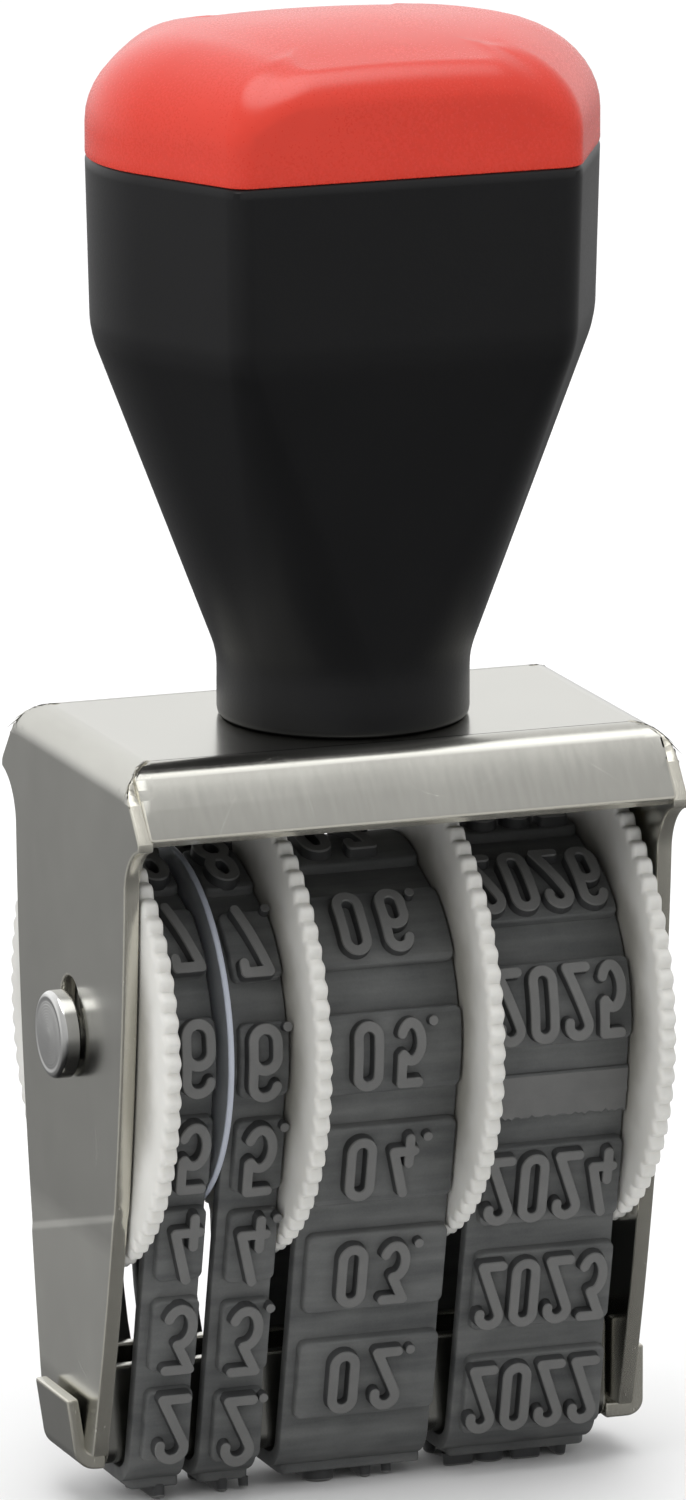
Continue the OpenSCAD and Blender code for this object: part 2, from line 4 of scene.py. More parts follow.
import bmesh
import bpy
import numpy as np
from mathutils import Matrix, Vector

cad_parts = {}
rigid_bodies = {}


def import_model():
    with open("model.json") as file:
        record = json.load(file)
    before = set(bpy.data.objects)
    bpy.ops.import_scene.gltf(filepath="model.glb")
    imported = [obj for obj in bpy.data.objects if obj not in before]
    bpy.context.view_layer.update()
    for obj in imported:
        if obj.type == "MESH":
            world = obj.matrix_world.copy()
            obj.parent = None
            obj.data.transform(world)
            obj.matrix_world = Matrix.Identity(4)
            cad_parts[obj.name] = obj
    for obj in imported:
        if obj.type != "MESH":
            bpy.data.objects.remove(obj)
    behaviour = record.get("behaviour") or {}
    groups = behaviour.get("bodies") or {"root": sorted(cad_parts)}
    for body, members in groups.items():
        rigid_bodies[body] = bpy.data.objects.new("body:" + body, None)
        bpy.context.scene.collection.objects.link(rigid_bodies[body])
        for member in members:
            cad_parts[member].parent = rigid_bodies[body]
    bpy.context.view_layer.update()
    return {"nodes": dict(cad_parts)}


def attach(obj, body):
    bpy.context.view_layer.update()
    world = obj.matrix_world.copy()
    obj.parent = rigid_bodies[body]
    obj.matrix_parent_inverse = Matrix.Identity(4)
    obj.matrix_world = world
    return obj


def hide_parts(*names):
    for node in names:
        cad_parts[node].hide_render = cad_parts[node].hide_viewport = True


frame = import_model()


# Frame: one blank of bright rolled steel sheet, folded down at both sides into cheeks and at the
# front and back into short sloping flanges. Each flange is parted from the cheeks by a sheared slit.
# The cut edges are rolled over a little by the shears; their lighter finish is bare cut metal with a
# painted highlight.
MM = 0.001
AXLE_Z = 26.5
SHEET_T = 0.9
TOP_Z = 43.36
CHEEK_X = 16.07
SIDE_BEND = 1.9
FLAT_X = CHEEK_X - SIDE_BEND
PLATE_D = 16.96
FLANGE_D = 22.88
FLANGE_DROP = 3.64
FLANGE_BEND = 1.9
FLANGE_CURL = 0.13
FLANGE_TURN = math.atan2(FLANGE_DROP, (FLANGE_D - PLATE_D) / 2)
FLANGE_START = PLATE_D / 2 - FLANGE_BEND * math.tan(FLANGE_TURN / 2)
FLANGE_RUN = math.hypot(FLANGE_DROP, (FLANGE_D - PLATE_D) / 2) - FLANGE_BEND * math.tan(FLANGE_TURN / 2)
FLANGE_TIP = FLANGE_START + FLANGE_BEND * FLANGE_TURN + FLANGE_RUN
FLANGE_X = 15.42
SLIT_R = 0.10
FOOT_Z = 3.3
HOLLOW_R = 3.0
HOLLOW_Z = TOP_Z - FLANGE_DROP - 0.5 - HOLLOW_R
WAIST_Y = 9.1
FOOT_Y = 4.2
MIDDLE_Y = 8.55
SLOT_R = 1.55
SLOT_RISE = 1.65
RIGHT_SPRING = 0.3
CREASE_Z = 16.0
CREASE_TILT = 0.277
CREASE_W = 0.6
CREASE_STEP = 0.06
SPLAY = 0.012
EDGE_ROLL = 0.16
ROLL_STEPS = 2
ROLL_ABOVE = math.radians(48.0)
FLAT_BELOW = math.radians(0.4)
TIP_R = 0.3
SLIT_STEPS = 12
SCREW_HOLE_R = 2.05
# Where the left cheek is painted lighter to stand in for the reflection it catches below the crease: ramps
# across and at top and bottom, in millimetres.
PAINTED_LIGHT_X = (0.0, -4.0)
PAINTED_LIGHT_TOP = (16.4, 15.2)
PAINTED_LIGHT_LOW = (6.2, 7.0)


class Wire:
    """An output socket of a shader; sums of wires and numbers add Math nodes."""

    def __init__(self, tree, socket=None):
        self.tree = tree
        self.socket = socket

    def node(self, kind, settings=None, inputs=None, out=0):
        made = self.tree.nodes.new("ShaderNode" + kind)
        for key, value in (settings or {}).items():
            setattr(made, key, value)
        for key, value in (inputs or {}).items():
            if isinstance(value, Wire):
                self.tree.links.new(value.socket, made.inputs[key])
            else:
                made.inputs[key].default_value = value
        return Wire(self.tree, made.outputs[out] if made.outputs else None)

    def math(self, operation, a, b=0.0):
        return self.node("Math", {"operation": operation}, {0: a, 1: b})

    def __add__(self, other):
        return self.math("ADD", self, other)

    def __sub__(self, other):
        return self.math("SUBTRACT", self, other)

    def __mul__(self, other):
        return self.math("MULTIPLY", self, other)

    def mix(self, low, high):
        """From one colour to another as this wire goes from 0 to 1."""
        return self.node("Mix", {"data_type": "RGBA"}, {0: self, 6: low, 7: high}, out=2)

    def ramp(self, low, high, kind="LINEAR"):
        """From 0 to 1 as this wire goes from low to high."""
        ends = {"Value": self, "From Min": low, "From Max": high}
        return self.node("MapRange", {"interpolation_type": kind}, ends)

    def along(self, axis, space="Object"):
        """One coordinate of the place or way that is shaded."""
        return self.node("SeparateXYZ", None, {"Vector": self.node("TexCoord", out=space)}, out=axis)

    def noise(self, scale, detail=3.0, stretch=(1.0, 1.0, 1.0)):
        """Noise with about scale blotches in a millimetre, drawn out by stretch."""
        place = self.node("TexCoord", out="Object")
        size = tuple(scale / MM / s for s in stretch)
        spread = self.node("Mapping", None, {"Vector": place, "Scale": size})
        return self.node("TexNoise", None, {"Vector": spread, "Scale": 1.0, "Detail": detail})

    def bump(self, height, strength, depth):
        """Surface relief from a height wire, depth in millimetres."""
        return self.node("Bump", None, {"Height": height, "Strength": strength, "Distance": depth * MM})


def new_finish(name):
    made = bpy.data.materials.new(name)
    made.use_nodes = True
    made.node_tree.nodes.clear()
    return made, Wire(made.node_tree)


def close_finish(wire, **sockets):
    """Ends a finish with a principled shader; the sockets are named with underscores."""
    named = {key.replace("_", " "): value for key, value in sockets.items()}
    shader = wire.node("BsdfPrincipled", None, named)
    wire.node("OutputMaterial", None, {"Surface": shader})


rolled_steel, wire = new_finish("rolled_steel")
rolling = wire.noise(2.2, 4.0, (0.8, 6.0, 6.0))
speckle = wire.noise(7.0, 2.0)
blotch = wire.noise(0.12, 3.0)
# Painted light: between about 7 and 15 mm up, the left cheek is made lighter to stand in for the reflection
# caught below the crease. The rest of the tone is rolling marks and blotches.
painted_light_ends = (("X", PAINTED_LIGHT_X), ("Z", PAINTED_LIGHT_TOP), ("Z", PAINTED_LIGHT_LOW))
left, below, above = (wire.along(axis).ramp(a * MM, b * MM) for axis, (a, b) in painted_light_ends)
steel_tone_and_painted_light = rolling * 0.20 + blotch * 0.30 + left * below * above * 0.55 + 0.05
hairline = wire.math("ABSOLUTE", wire.noise(0.09, 0.0) - 0.5).ramp(0.0022, 0.0)
scratch = hairline * wire.noise(0.3).ramp(0.48, 0.6)
close_finish(
    wire,
    Base_Color=(steel_tone_and_painted_light + scratch * 0.13).mix((0.44, 0.435, 0.40, 1), (0.72, 0.715, 0.66, 1)),
    Metallic=1.0,
    Roughness=rolling * 0.08 + blotch * 0.08 + scratch * 0.07 + 0.12,
    Normal=wire.bump(speckle * 0.5 + rolling * 0.5, 0.08, 0.02),
)

# Cut edges: bare sheared metal, made lighter and partly matt so that it also stands in for the highlight
# each edge catches.
sheared_steel_and_highlight, wire = new_finish("sheared_steel_and_highlight")
drag = wire.noise(5.0, 3.0, (0.4, 3.0, 3.0))
close_finish(
    wire,
    Base_Color=drag.mix((0.62, 0.60, 0.525, 1), (0.72, 0.70, 0.62, 1)),
    Metallic=0.85,
    Roughness=drag * 0.10 + 0.20,
    Normal=wire.bump(drag, 0.05, 0.02),
)


def add_piece(name, bm, finishes, body, node, sharp=32.0):
    """Turns a bmesh in millimetres into the piece that stands for a CAD node."""
    bmesh.ops.recalc_face_normals(bm, faces=bm.faces)
    bmesh.ops.scale(bm, vec=(MM, MM, MM), verts=bm.verts)
    mesh = bpy.data.meshes.new(name)
    bm.to_mesh(mesh)
    bm.free()
    mesh.shade_smooth()
    mesh.set_sharp_from_angle(angle=math.radians(sharp))
    for one in finishes:
        mesh.materials.append(one)
    piece = bpy.data.objects.new(name, mesh)
    bpy.context.collection.objects.link(piece)
    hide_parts(node)
    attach(piece, body)
    return piece


def arc(cx, cy, rx, ry, start, end, steps):
    """Points of an elliptic arc between two directions in degrees."""
    turns = [math.radians(start + (end - start) * i / steps) for i in range(steps + 1)]
    return [(cx + rx * math.cos(t), cy + ry * math.sin(t)) for t in turns]


def folded_sheet(loops, cuts, fold, thickness):
    """Fills a flat blank, cuts it along its bend lines and folds it into a sheet with two faces."""
    flat = bmesh.new()
    edges = []
    for loop in loops:
        corners = [flat.verts.new((w, v, 0)) for w, v in loop]
        edges += [flat.edges.new((corners[i - 1], corners[i])) for i in range(len(corners))]
    bmesh.ops.triangle_fill(flat, edges=edges, use_beauty=True)
    for spot, normal in cuts:
        parts = flat.verts[:] + flat.edges[:] + flat.faces[:]
        bmesh.ops.bisect_plane(flat, geom=parts, dist=1e-4, plane_co=(*spot, 0), plane_no=(*normal, 0))
    bmesh.ops.remove_doubles(flat, verts=flat.verts, dist=2e-4)
    flat.verts.index_update()
    made = bmesh.new()
    outer = [made.verts.new(fold(v.co.x, v.co.y, 0)) for v in flat.verts]
    inner = [made.verts.new(fold(v.co.x, v.co.y, thickness)) for v in flat.verts]
    for face in flat.faces:
        made.faces.new([outer[v.index] for v in face.verts])
        made.faces.new([inner[v.index] for v in reversed(face.verts)])
    for edge in flat.edges:
        if len(edge.link_faces) == 1:
            a, b = (v.index for v in edge.verts)
            rim = made.faces.new([outer[a], outer[b], inner[b], inner[a]])
            rim.material_index = 1
    flat.free()
    return made


def roll_edges(bm):
    """Joins flat faces, parted along the middle, and rounds the sheared edges."""
    bmesh.ops.recalc_face_normals(bm, faces=bm.faces)
    for edge in bm.edges:
        edge.seam = all(abs(v.co.y) < 1e-4 for v in edge.verts)
    bmesh.ops.dissolve_limit(bm, angle_limit=FLAT_BELOW, verts=bm.verts, edges=bm.edges,
                             delimit={"MATERIAL", "SEAM"})
    sharp = [e for e in bm.edges if len(e.link_faces) == 2 and e.calc_face_angle() > ROLL_ABOVE]
    bmesh.ops.bevel(
        bm, geom=sharp, offset=EDGE_ROLL, offset_type="OFFSET", segments=ROLL_STEPS, profile=0.5,
        affect="EDGES", clamp_overlap=False, material=1)


def add_sheet(name, bm, node):
    """A piece of sheet steel, its flat faces shaded flat beside the rolled edges."""
    piece = add_piece(name, bm, [rolled_steel, sheared_steel_and_highlight], "stamp_body", node, 28.0)
    piece.modifiers.new("flat_faces", "WEIGHTED_NORMAL").keep_sharp = True


def cheek_w(z):
    """Place on the blank, measured from its middle, of a height on a cheek."""
    return FLAT_X + SIDE_BEND * math.pi / 2 + TOP_Z - SIDE_BEND - z


def fold_frame(w, v, depth):
    """Folds a place on the blank: flanges round the front and back bends, cheeks round the sides."""
    side = math.copysign(1, w)
    w = abs(w)
    if abs(v) > FLANGE_START and abs(v) - FLANGE_START > w - FLAT_X:
        first = FLANGE_TURN - FLANGE_CURL / 2
        bend = min((abs(v) - FLANGE_START) / FLANGE_BEND, first)
        r = FLANGE_RUN / FLANGE_CURL
        turn = bend + max(abs(v) - FLANGE_START - FLANGE_BEND * first, 0) / r
        y = FLANGE_START + (FLANGE_BEND - r) * math.sin(bend) + (r - depth) * math.sin(turn)
        z = TOP_Z - FLANGE_BEND + (FLANGE_BEND - r) * math.cos(bend) + (r - depth) * math.cos(turn)
        return (side * w, math.copysign(y, v), z)
    turn = min(max((w - FLAT_X) / SIDE_BEND, 0), math.pi / 2)
    drop = max(w - FLAT_X - SIDE_BEND * math.pi / 2, 0)
    r = SIDE_BEND - depth
    spring = RIGHT_SPRING * drop / (TOP_Z - SIDE_BEND - FOOT_Z) if side > 0 else 0.0
    z = TOP_Z - SIDE_BEND + r * math.cos(turn) - drop
    return (side * (min(w, FLAT_X) + r * math.sin(turn) - spring), v, z)


def frame_blank():
    """Outlines of the blank, its two slots and screw hole, drawn by quarters from a flange's corner."""
    quarter = arc(FLANGE_X - TIP_R, FLANGE_TIP - TIP_R, TIP_R, TIP_R, 90, 0, 4)
    gap = SLIT_R * math.sqrt(0.5)
    for i in range(SLIT_STEPS, 0, -1):
        turn = FLANGE_TURN * i / SLIT_STEPS
        half = min(FLAT_X + SIDE_BEND * math.sin(turn) - gap, FLANGE_X)
        quarter.append((half, FLANGE_START + FLANGE_BEND * turn + gap * (1 - i / SLIT_STEPS)))
    quarter += arc(FLAT_X, FLANGE_START, SLIT_R, SLIT_R, 135, 315, 6)
    for i in range(1, SLIT_STEPS + 1):
        turn = FLANGE_TURN * i / SLIT_STEPS
        w = FLAT_X + SIDE_BEND * turn + gap * (1 - i / SLIT_STEPS)
        quarter.append((w, FLANGE_START + FLANGE_BEND * math.sin(turn) - gap))
    slope = (FLANGE_D - PLATE_D) / 2 / FLANGE_DROP
    start, end = FLAT_X + SIDE_BEND * FLANGE_TURN, cheek_w(TOP_Z - FLANGE_DROP + 0.25)
    for i in range(1, 9):
        w = start + (end - start) * i / 8
        turn = min((w - FLAT_X) / SIDE_BEND, math.pi / 2)
        drop = SIDE_BEND * (1 - math.cos(turn)) + max(w - FLAT_X - SIDE_BEND * math.pi / 2, 0)
        quarter.append((w, PLATE_D / 2 + slope * drop - gap))
    half = FLANGE_D / 2
    quarter.append((cheek_w(TOP_Z - FLANGE_DROP - 0.1), half - 0.03))
    hollow_y = WAIST_Y + HOLLOW_R
    start = math.degrees(math.acos((half - hollow_y) / HOLLOW_R))
    quarter += [(cheek_w(z), y) for y, z in arc(hollow_y, HOLLOW_Z, HOLLOW_R, HOLLOW_R, start, 180, 14)]
    middle_z = (HOLLOW_Z + FOOT_Z) / 2
    for i in range(1, 31):
        t = i / 30
        y = (1 - t) ** 2 * WAIST_Y + 2 * t * (1 - t) * MIDDLE_Y + t * t * FOOT_Y
        z = (1 - t) ** 2 * HOLLOW_Z + 2 * t * (1 - t) * middle_z + t * t * FOOT_Z
        quarter.append((cheek_w(z), y))
    back = quarter[::-1]
    outline = quarter + [(w, -v) for w, v in back]
    outline += [(-w, -v) for w, v in quarter] + [(-w, v) for w, v in back]
    slot = arc(cheek_w(AXLE_Z), 0, SLOT_R, SLOT_R, -90, 90, 20)
    slot += arc(cheek_w(AXLE_Z + SLOT_RISE), 0, SLOT_R, SLOT_R, 90, 270, 20)
    screw_hole = arc(0, 0, SCREW_HOLE_R, SCREW_HOLE_R, 0, 352.5, 47)
    return [outline, slot, [(-w, v) for w, v in slot], screw_hole]


bends = [((0, 0), (0, 1))]
for s in (-1, 1):
    bends += [((s * (FLAT_X + SIDE_BEND * math.pi / 2 * i / 10), 0), (1, 0)) for i in range(11)]
    bends += [((0, s * (FLANGE_START + FLANGE_BEND * FLANGE_TURN * i / 8)), (0, 1)) for i in range(9)]
    bends += [((0, s * (FLANGE_TIP - FLANGE_RUN * i / 6)), (0, 1)) for i in range(1, 6)]
bm = folded_sheet(frame_blank(), bends, fold_frame, SHEET_T)
roll_edges(bm)
for share in (0.0, 0.3, 0.7, 1.0):
    left = [f for f in bm.faces if max(v.co.x for v in f.verts) < -FLAT_X - 0.3]
    parts = list({e for f in left for e in f.edges}) + list({v for f in left for v in f.verts}) + left
    bmesh.ops.bisect_plane(bm, geom=parts, dist=1e-5, plane_co=(0, 0, CREASE_Z - CREASE_W * share),
                           plane_no=(0, CREASE_TILT, 1))
for vert in bm.verts:
    if vert.co.x < -FLAT_X - 0.3:
        below = max(CREASE_Z - CREASE_TILT * vert.co.y - vert.co.z, 0)
        share = min(below / CREASE_W, 1)
        vert.co.x -= CREASE_STEP * share * share * (3 - 2 * share) + SPLAY * max(below - CREASE_W, 0)
add_sheet("frame_sheet", bm, "frame")


# Bridge: a channel of the same sheet below the cheeks, over which the bands turn. A strip at each
# end runs on under the cheek and is hooked up outside it, a little tighter on the right.
BRIDGE_Z = 2.15
BRIDGE_D = 5.4
BRIDGE_CORNER = 1.1
BRIDGE_WALL = 5.8
BRIDGE_SHIFT = -0.14
BRIDGE_WALL_X = 14.87
LIP_X = 17.15
LIP_H = 4.1
LIP_BEND = 0.94
LEFT_BEND = 1.3
LEFT_LEAN = 0.45
LIP_T = 0.70


def prism(bm, loop, place, low, high):
    """A bar with the outline given; place puts a point of the outline at a length along the bar."""
    ends = [[bm.verts.new(place(u, v, at)) for u, v in loop] for at in (low, high)]
    caps = [bm.faces.new(ends[0]), bm.faces.new(ends[1][::-1])]
    for cap in caps:
        cap.material_index = 1
    for i in range(len(loop)):
        bm.faces.new([ends[0][i - 1], ends[0][i], ends[1][i], ends[1][i - 1]])


def channel_section():
    half = BRIDGE_D / 2
    r = BRIDGE_CORNER
    inner = r - SHEET_T
    top = BRIDGE_Z + BRIDGE_WALL
    low = BRIDGE_Z + r
    outside = [(-half, top)] + arc(r - half, low, r, r, 180, 270, 8)
    outside += arc(half - r, low, r, r, 270, 360, 8) + [(half, top)]
    inside = [(half - SHEET_T, top)] + arc(half - r, low, inner, inner, 360, 270, 4)
    inside += arc(r - half, low, inner, inner, 270, 180, 4) + [(SHEET_T - half, top)]
    return outside + inside


def hook_section(side):
    """Section of the strip under a cheek; the left lip leans out a little over a wider bend."""
    r, lean = (LIP_BEND, 0.0) if side > 0 else (LEFT_BEND, LEFT_LEAN)
    cx, cz = LIP_X - lean - r, BRIDGE_Z + r
    top = BRIDGE_Z + LIP_H
    turn = math.degrees(math.atan2(lean, top - cz))
    outside = [(BRIDGE_WALL_X, BRIDGE_Z)] + arc(cx, cz, r, r, 270, 360 - turn, 10) + [(LIP_X, top)]
    thin = SHEET_T if side > 0 else LIP_T
    inside = [(LIP_X - thin, top + 0.1 * lean)]
    inside += arc(cx, cz, r - thin, r - SHEET_T, 360 - turn, 270, 6)
    return [(side * x, z) for x, z in outside + inside + [(BRIDGE_WALL_X, BRIDGE_Z + SHEET_T)]]


bm = bmesh.new()
prism(bm, channel_section(), lambda y, z, x: (x + BRIDGE_SHIFT, y, z), -BRIDGE_WALL_X, BRIDGE_WALL_X)
for side in (-1, 1):
    prism(bm, hook_section(side), lambda x, z, y: (x + BRIDGE_SHIFT, y, z), -BRIDGE_D / 2, BRIDGE_D / 2)
roll_edges(bm)
add_sheet("bridge_channel", bm, "bridge")


# Axle: a turned steel pin with a polished round head, pushed through the slots from the left. Its
# stepped right end carries a pressed-on collar with the same turned face.
HEAD_R = 2.45
HEAD_X = 16.22
AXLE_END = 17.35
AXLE_R = 1.5
STEP_R = 1.1
RING_PITCH = 0.16


def axle_radius(wire):
    """Distance from the middle of the axle."""
    depth = wire.along("Y")
    height = wire.along("Z") - AXLE_Z * MM
    return wire.math("SQRT", depth * depth + height * height)


turned_steel, wire = new_finish("turned_steel")
rings = wire.math("SINE", axle_radius(wire) * (2 * math.pi / RING_PITCH / MM))
scuff = wire.noise(1.2, 3.0)
close_finish(
    wire,
    Base_Color=scuff.mix((0.66, 0.66, 0.65, 1), (0.80, 0.80, 0.78, 1)),
    Metallic=1.0,
    Roughness=scuff * 0.10 + 0.08,
    Normal=wire.bump(rings * 0.5 + 0.5, 0.16, 0.02),
)


def lathe(bm, profile, steps, closed=False):
    """Turns a profile of (x, radius) round the axle; a radius of 0 closes the end."""
    rings = []
    for x, r in profile:
        if r == 0:
            rings.append([bm.verts.new((x, 0, AXLE_Z))])
        else:
            spin = [2 * math.pi * i / steps for i in range(steps)]
            rings.append([bm.verts.new((x, r * math.cos(a), AXLE_Z + r * math.sin(a))) for a in spin])
    pairs = list(zip(rings, rings[1:])) + ([(rings[-1], rings[0])] if closed else [])
    for low, high in pairs:
        for i in range(steps):
            a, b = low[(i - 1) % len(low)], low[i % len(low)]
            c, d = high[i % len(high)], high[(i - 1) % len(high)]
            bm.faces.new(list(dict.fromkeys((a, b, c, d))))


def turned_face(end, hole):
    """Profile of a turned head from its middle, or from its hole, out to the cheek."""
    face = [(end, hole)] if hole == 0 else [(end - 0.5, hole), (end - 0.1, hole), (end, hole + 0.1)]
    marks = [0.35, 0.45, 0.8, 0.88, 1.25, 1.33, 1.65, 1.72]
    face += [(end - (0.012 if i % 2 else 0.0), r) for i, r in enumerate(marks) if r > hole + 0.2]
    face += [(end - 0.02, 1.92), (end - 0.02, 1.98), (end, 2.03)]
    face += [(x, r) for r, x in arc(HEAD_R - 0.36, end - 0.36, 0.36, 0.36, 80, 0, 8)]
    return face + [(HEAD_X + 0.12, HEAD_R), (HEAD_X, HEAD_R - 0.12)]


bm = bmesh.new()
left = [(-x, r) for x, r in turned_face(AXLE_END, 0)]
lathe(bm, left + [(-HEAD_X, AXLE_R), (HEAD_X - 0.1, AXLE_R), (HEAD_X, AXLE_R - 0.1), (HEAD_X, STEP_R),
                  (AXLE_END - 0.12, STEP_R), (AXLE_END, STEP_R - 0.12), (AXLE_END, 0)], 96)
add_piece("axle_pin", bm, [turned_steel], "stamp_body", "axle")
bm = bmesh.new()
lathe(bm, turned_face(AXLE_END, STEP_R + 0.02) + [(HEAD_X, STEP_R + 0.02)], 96, closed=True)
add_piece("axle_end_collar", bm, [turned_steel], "stamp_body", "axle_collar")


# Thumbwheels: white moulded plastic, each a drum for its band and a thin rim with rounded teeth in
# one piece. They turn on the axle and push the bands round; the rims stand out for the thumb, and
# they are painted grey towards the drum for the shade between the rims and the bands.
DRUM_R = 7.5
RIM_R = 13.17
RIM_T = 0.96
TEETH = 72
TOOTH_H = 0.36
BORE_R = 1.56
TOOTH_STEPS = 10
TOOTH_ROUND = 1.4
WHEEL_EDGE = 0.2

white_plastic, wire = new_finish("white_plastic")
cloud = wire.noise(0.25, 3.0)
skin = wire.noise(9.0, 2.0)
radius = axle_radius(wire) + (cloud - 0.5) * 0.0025
# Painted shade: the plastic turns grey towards the drum, standing in for the shade that falls between the
# rims and the bands.
out_of_painted_shade = radius.ramp(0.0090, 0.0120, "SMOOTHSTEP")
painted_shade_grey = cloud.mix((0.27, 0.262, 0.235, 1), (0.35, 0.34, 0.305, 1))
close_finish(
    wire,
    Base_Color=out_of_painted_shade.mix(painted_shade_grey, cloud.mix((0.60, 0.595, 0.565, 1), (0.68, 0.675, 0.645, 1))),
    Roughness=skin * 0.12 + 0.34,
    Specular_IOR_Level=0.45,
    Subsurface_Weight=0.12,
    Subsurface_Radius=(0.0012, 0.0011, 0.0009),
    Subsurface_Scale=1.0,
    Normal=wire.bump(skin, 0.10, 0.02),
)


def thumbwheel(drum_x, drum_end, rim_x):
    """Drum and toothed rim turned from one closed profile; the last number is how far teeth cut in."""
    left_rim = rim_x < drum_x
    free = drum_end if left_rim else drum_x
    near, far = (rim_x + RIM_T, rim_x) if left_rim else (rim_x, rim_x + RIM_T)
    r = WHEEL_EDGE
    e = -r if left_rim else r
    drum = [(free + e, BORE_R), (free, BORE_R + r), (free, DRUM_R - r), (free + e, DRUM_R),
            (near - e, DRUM_R), (near, DRUM_R + r)]
    hub = [(far, BORE_R + r), (far - e, BORE_R)]
    return [(*p, 0) for p in drum] + rim_edge(near, far) + [(*p, 0) for p in hub]


def rim_edge(a, b):
    """Rim from side a round its toothed edge to side b."""
    way = math.copysign(1, b - a)
    side = [(0.0, 1.3, 0.0), (0.0, 0.55, 0.5), (0.03, 0.26, 0.95), (0.12, 0.07, 1.0), (0.26, 0.0, 1.0)]
    near = [(a + way * x, RIM_R - r, t) for x, r, t in side]
    return near + [(b - way * x, RIM_R - r, t) for x, r, t in side[::-1]]


def turn_wheel(bm, profile):
    steps = TEETH * TOOTH_STEPS
    rings = []
    for x, r, cut in profile:
        ring = []
        for i in range(steps):
            lobe = abs(math.cos(math.pi * i / TOOTH_STEPS)) ** TOOTH_ROUND
            radius = r - TOOTH_H * cut * (1 - lobe)
            a = 2 * math.pi * i / steps
            ring.append(bm.verts.new((x, radius * math.cos(a), AXLE_Z + radius * math.sin(a))))
        rings.append(ring)
    for low, high in zip(rings, rings[1:] + rings[:1]):
        for i in range(steps):
            bm.faces.new([low[i - 1], low[i], high[i], high[i - 1]])


DRUMS = {"tens": (-14.11, -10.56, -15.07), "units": (-10.01, -6.31, -6.31),
         "month": (-5.25, 3.80, 3.80), "year": (4.86, 13.86, 13.86)}
for row, (drum_x, drum_end, rim_x) in DRUMS.items():
    bm = bmesh.new()
    turn_wheel(bm, thumbwheel(drum_x, drum_end, rim_x))
    add_piece(row + "_thumbwheel", bm, [white_plastic], row + "_dial", row + "_wheel",
              40.0)


# Separator disc: a thin smooth disc stamped from milky plastic sheet. It turns loose on the axle
# and keeps the two day bands apart; its faces let light through, its cut edge is milky.
DISC_X = -10.46
DISC_T = 0.35
DISC_R = 10.3
DISC_EDGE = 0.12

milky_plastic, wire = new_finish("milky_plastic")
haze = wire.noise(0.4, 3.0)
close_finish(
    wire,
    Base_Color=haze.mix((0.40, 0.43, 0.50, 1), (0.48, 0.51, 0.58, 1)),
    Roughness=haze * 0.15 + 0.25,
    Normal=wire.bump(wire.noise(6.0), 0.08, 0.02),
)
clear_plastic, wire = new_finish("clear_plastic")
haze = wire.noise(0.4, 3.0)
close_finish(
    wire,
    Base_Color=haze.mix((0.60, 0.62, 0.65, 1), (0.70, 0.72, 0.75, 1)),
    Roughness=haze * 0.15 + 0.25,
    Transmission_Weight=0.8,
    IOR=1.45,
    Normal=wire.bump(wire.noise(6.0), 0.08, 0.02),
)
edge = [(DISC_X + DISC_T / 2 + x, r)
        for r, x in arc(DISC_R - DISC_EDGE, 0, DISC_EDGE, DISC_T / 2, -90, 90, 8)]
bore = [(DISC_X + DISC_T, BORE_R + 0.1), (DISC_X + DISC_T - 0.1, BORE_R), (DISC_X + 0.1, BORE_R),
        (DISC_X, BORE_R + 0.1)]
bm = bmesh.new()
lathe(bm, edge + bore, 160, closed=True)
for face in bm.faces:
    middle = face.calc_center_median()
    if math.hypot(middle.y, middle.z - AXLE_Z) < DISC_R - DISC_EDGE - 0.02:
        face.material_index = 1
add_piece("day_separator", bm, [milky_plastic, clear_plastic], "disc", "separator_disc")


# Bands: endless strips of dark grey rubber, moulded with a row of raised pads that carry the
# figures upside down and reversed. They run over the drums and turn below on the bridge, slack at
# the back; the year band shows its glued lap, and the ink pad has rubbed the figures paler.
BAND_T = 0.85
BAND_GAP = 0.2
PAD_H = 0.5
PAD_LEN = 4.7
RELIEF = 0.6
DRUM_PATH = DRUM_R + BAND_GAP
CORNER_PATH = BRIDGE_CORNER + BAND_GAP
CORNER_Y = BRIDGE_D / 2 - BRIDGE_CORNER
CORNER_Z = BRIDGE_Z + BRIDGE_CORNER
CENTRE_DROP = AXLE_Z - CORNER_Z
CENTRE_GAP = math.hypot(CORNER_Y, CENTRE_DROP)
LEAN = math.pi / 2 - math.acos((DRUM_PATH - CORNER_PATH) / CENTRE_GAP) - math.atan2(CORNER_Y, CENTRE_DROP)
RUN = math.sqrt(CENTRE_GAP ** 2 - (DRUM_PATH - CORNER_PATH) ** 2)
PITCH = BAND_T / 2
CORNER_ARC = (CORNER_PATH + PITCH) * (math.pi / 2 - LEAN)
DRUM_ARC = (DRUM_PATH + PITCH) * (math.pi + 2 * LEAN)
LOOP = 2 * (CORNER_Y + CORNER_ARC + RUN) + DRUM_ARC
STROKE_R = 0.26
LIFT = PITCH + PAD_H
STOP_STEP = 1.36
SLACK = 2.0
SLACK_LOW = 0.7
CREST = 0.68
CREST_BACK = 0.23
CREST_SPAN = 0.6
STRIP_EDGE = 0.14
PAD_R = 0.40
GRID_STEP = 0.07
LOOP_SLACK = 0.004
LOOP_REACH = 0.45
SMALL_LOOP = 0.6


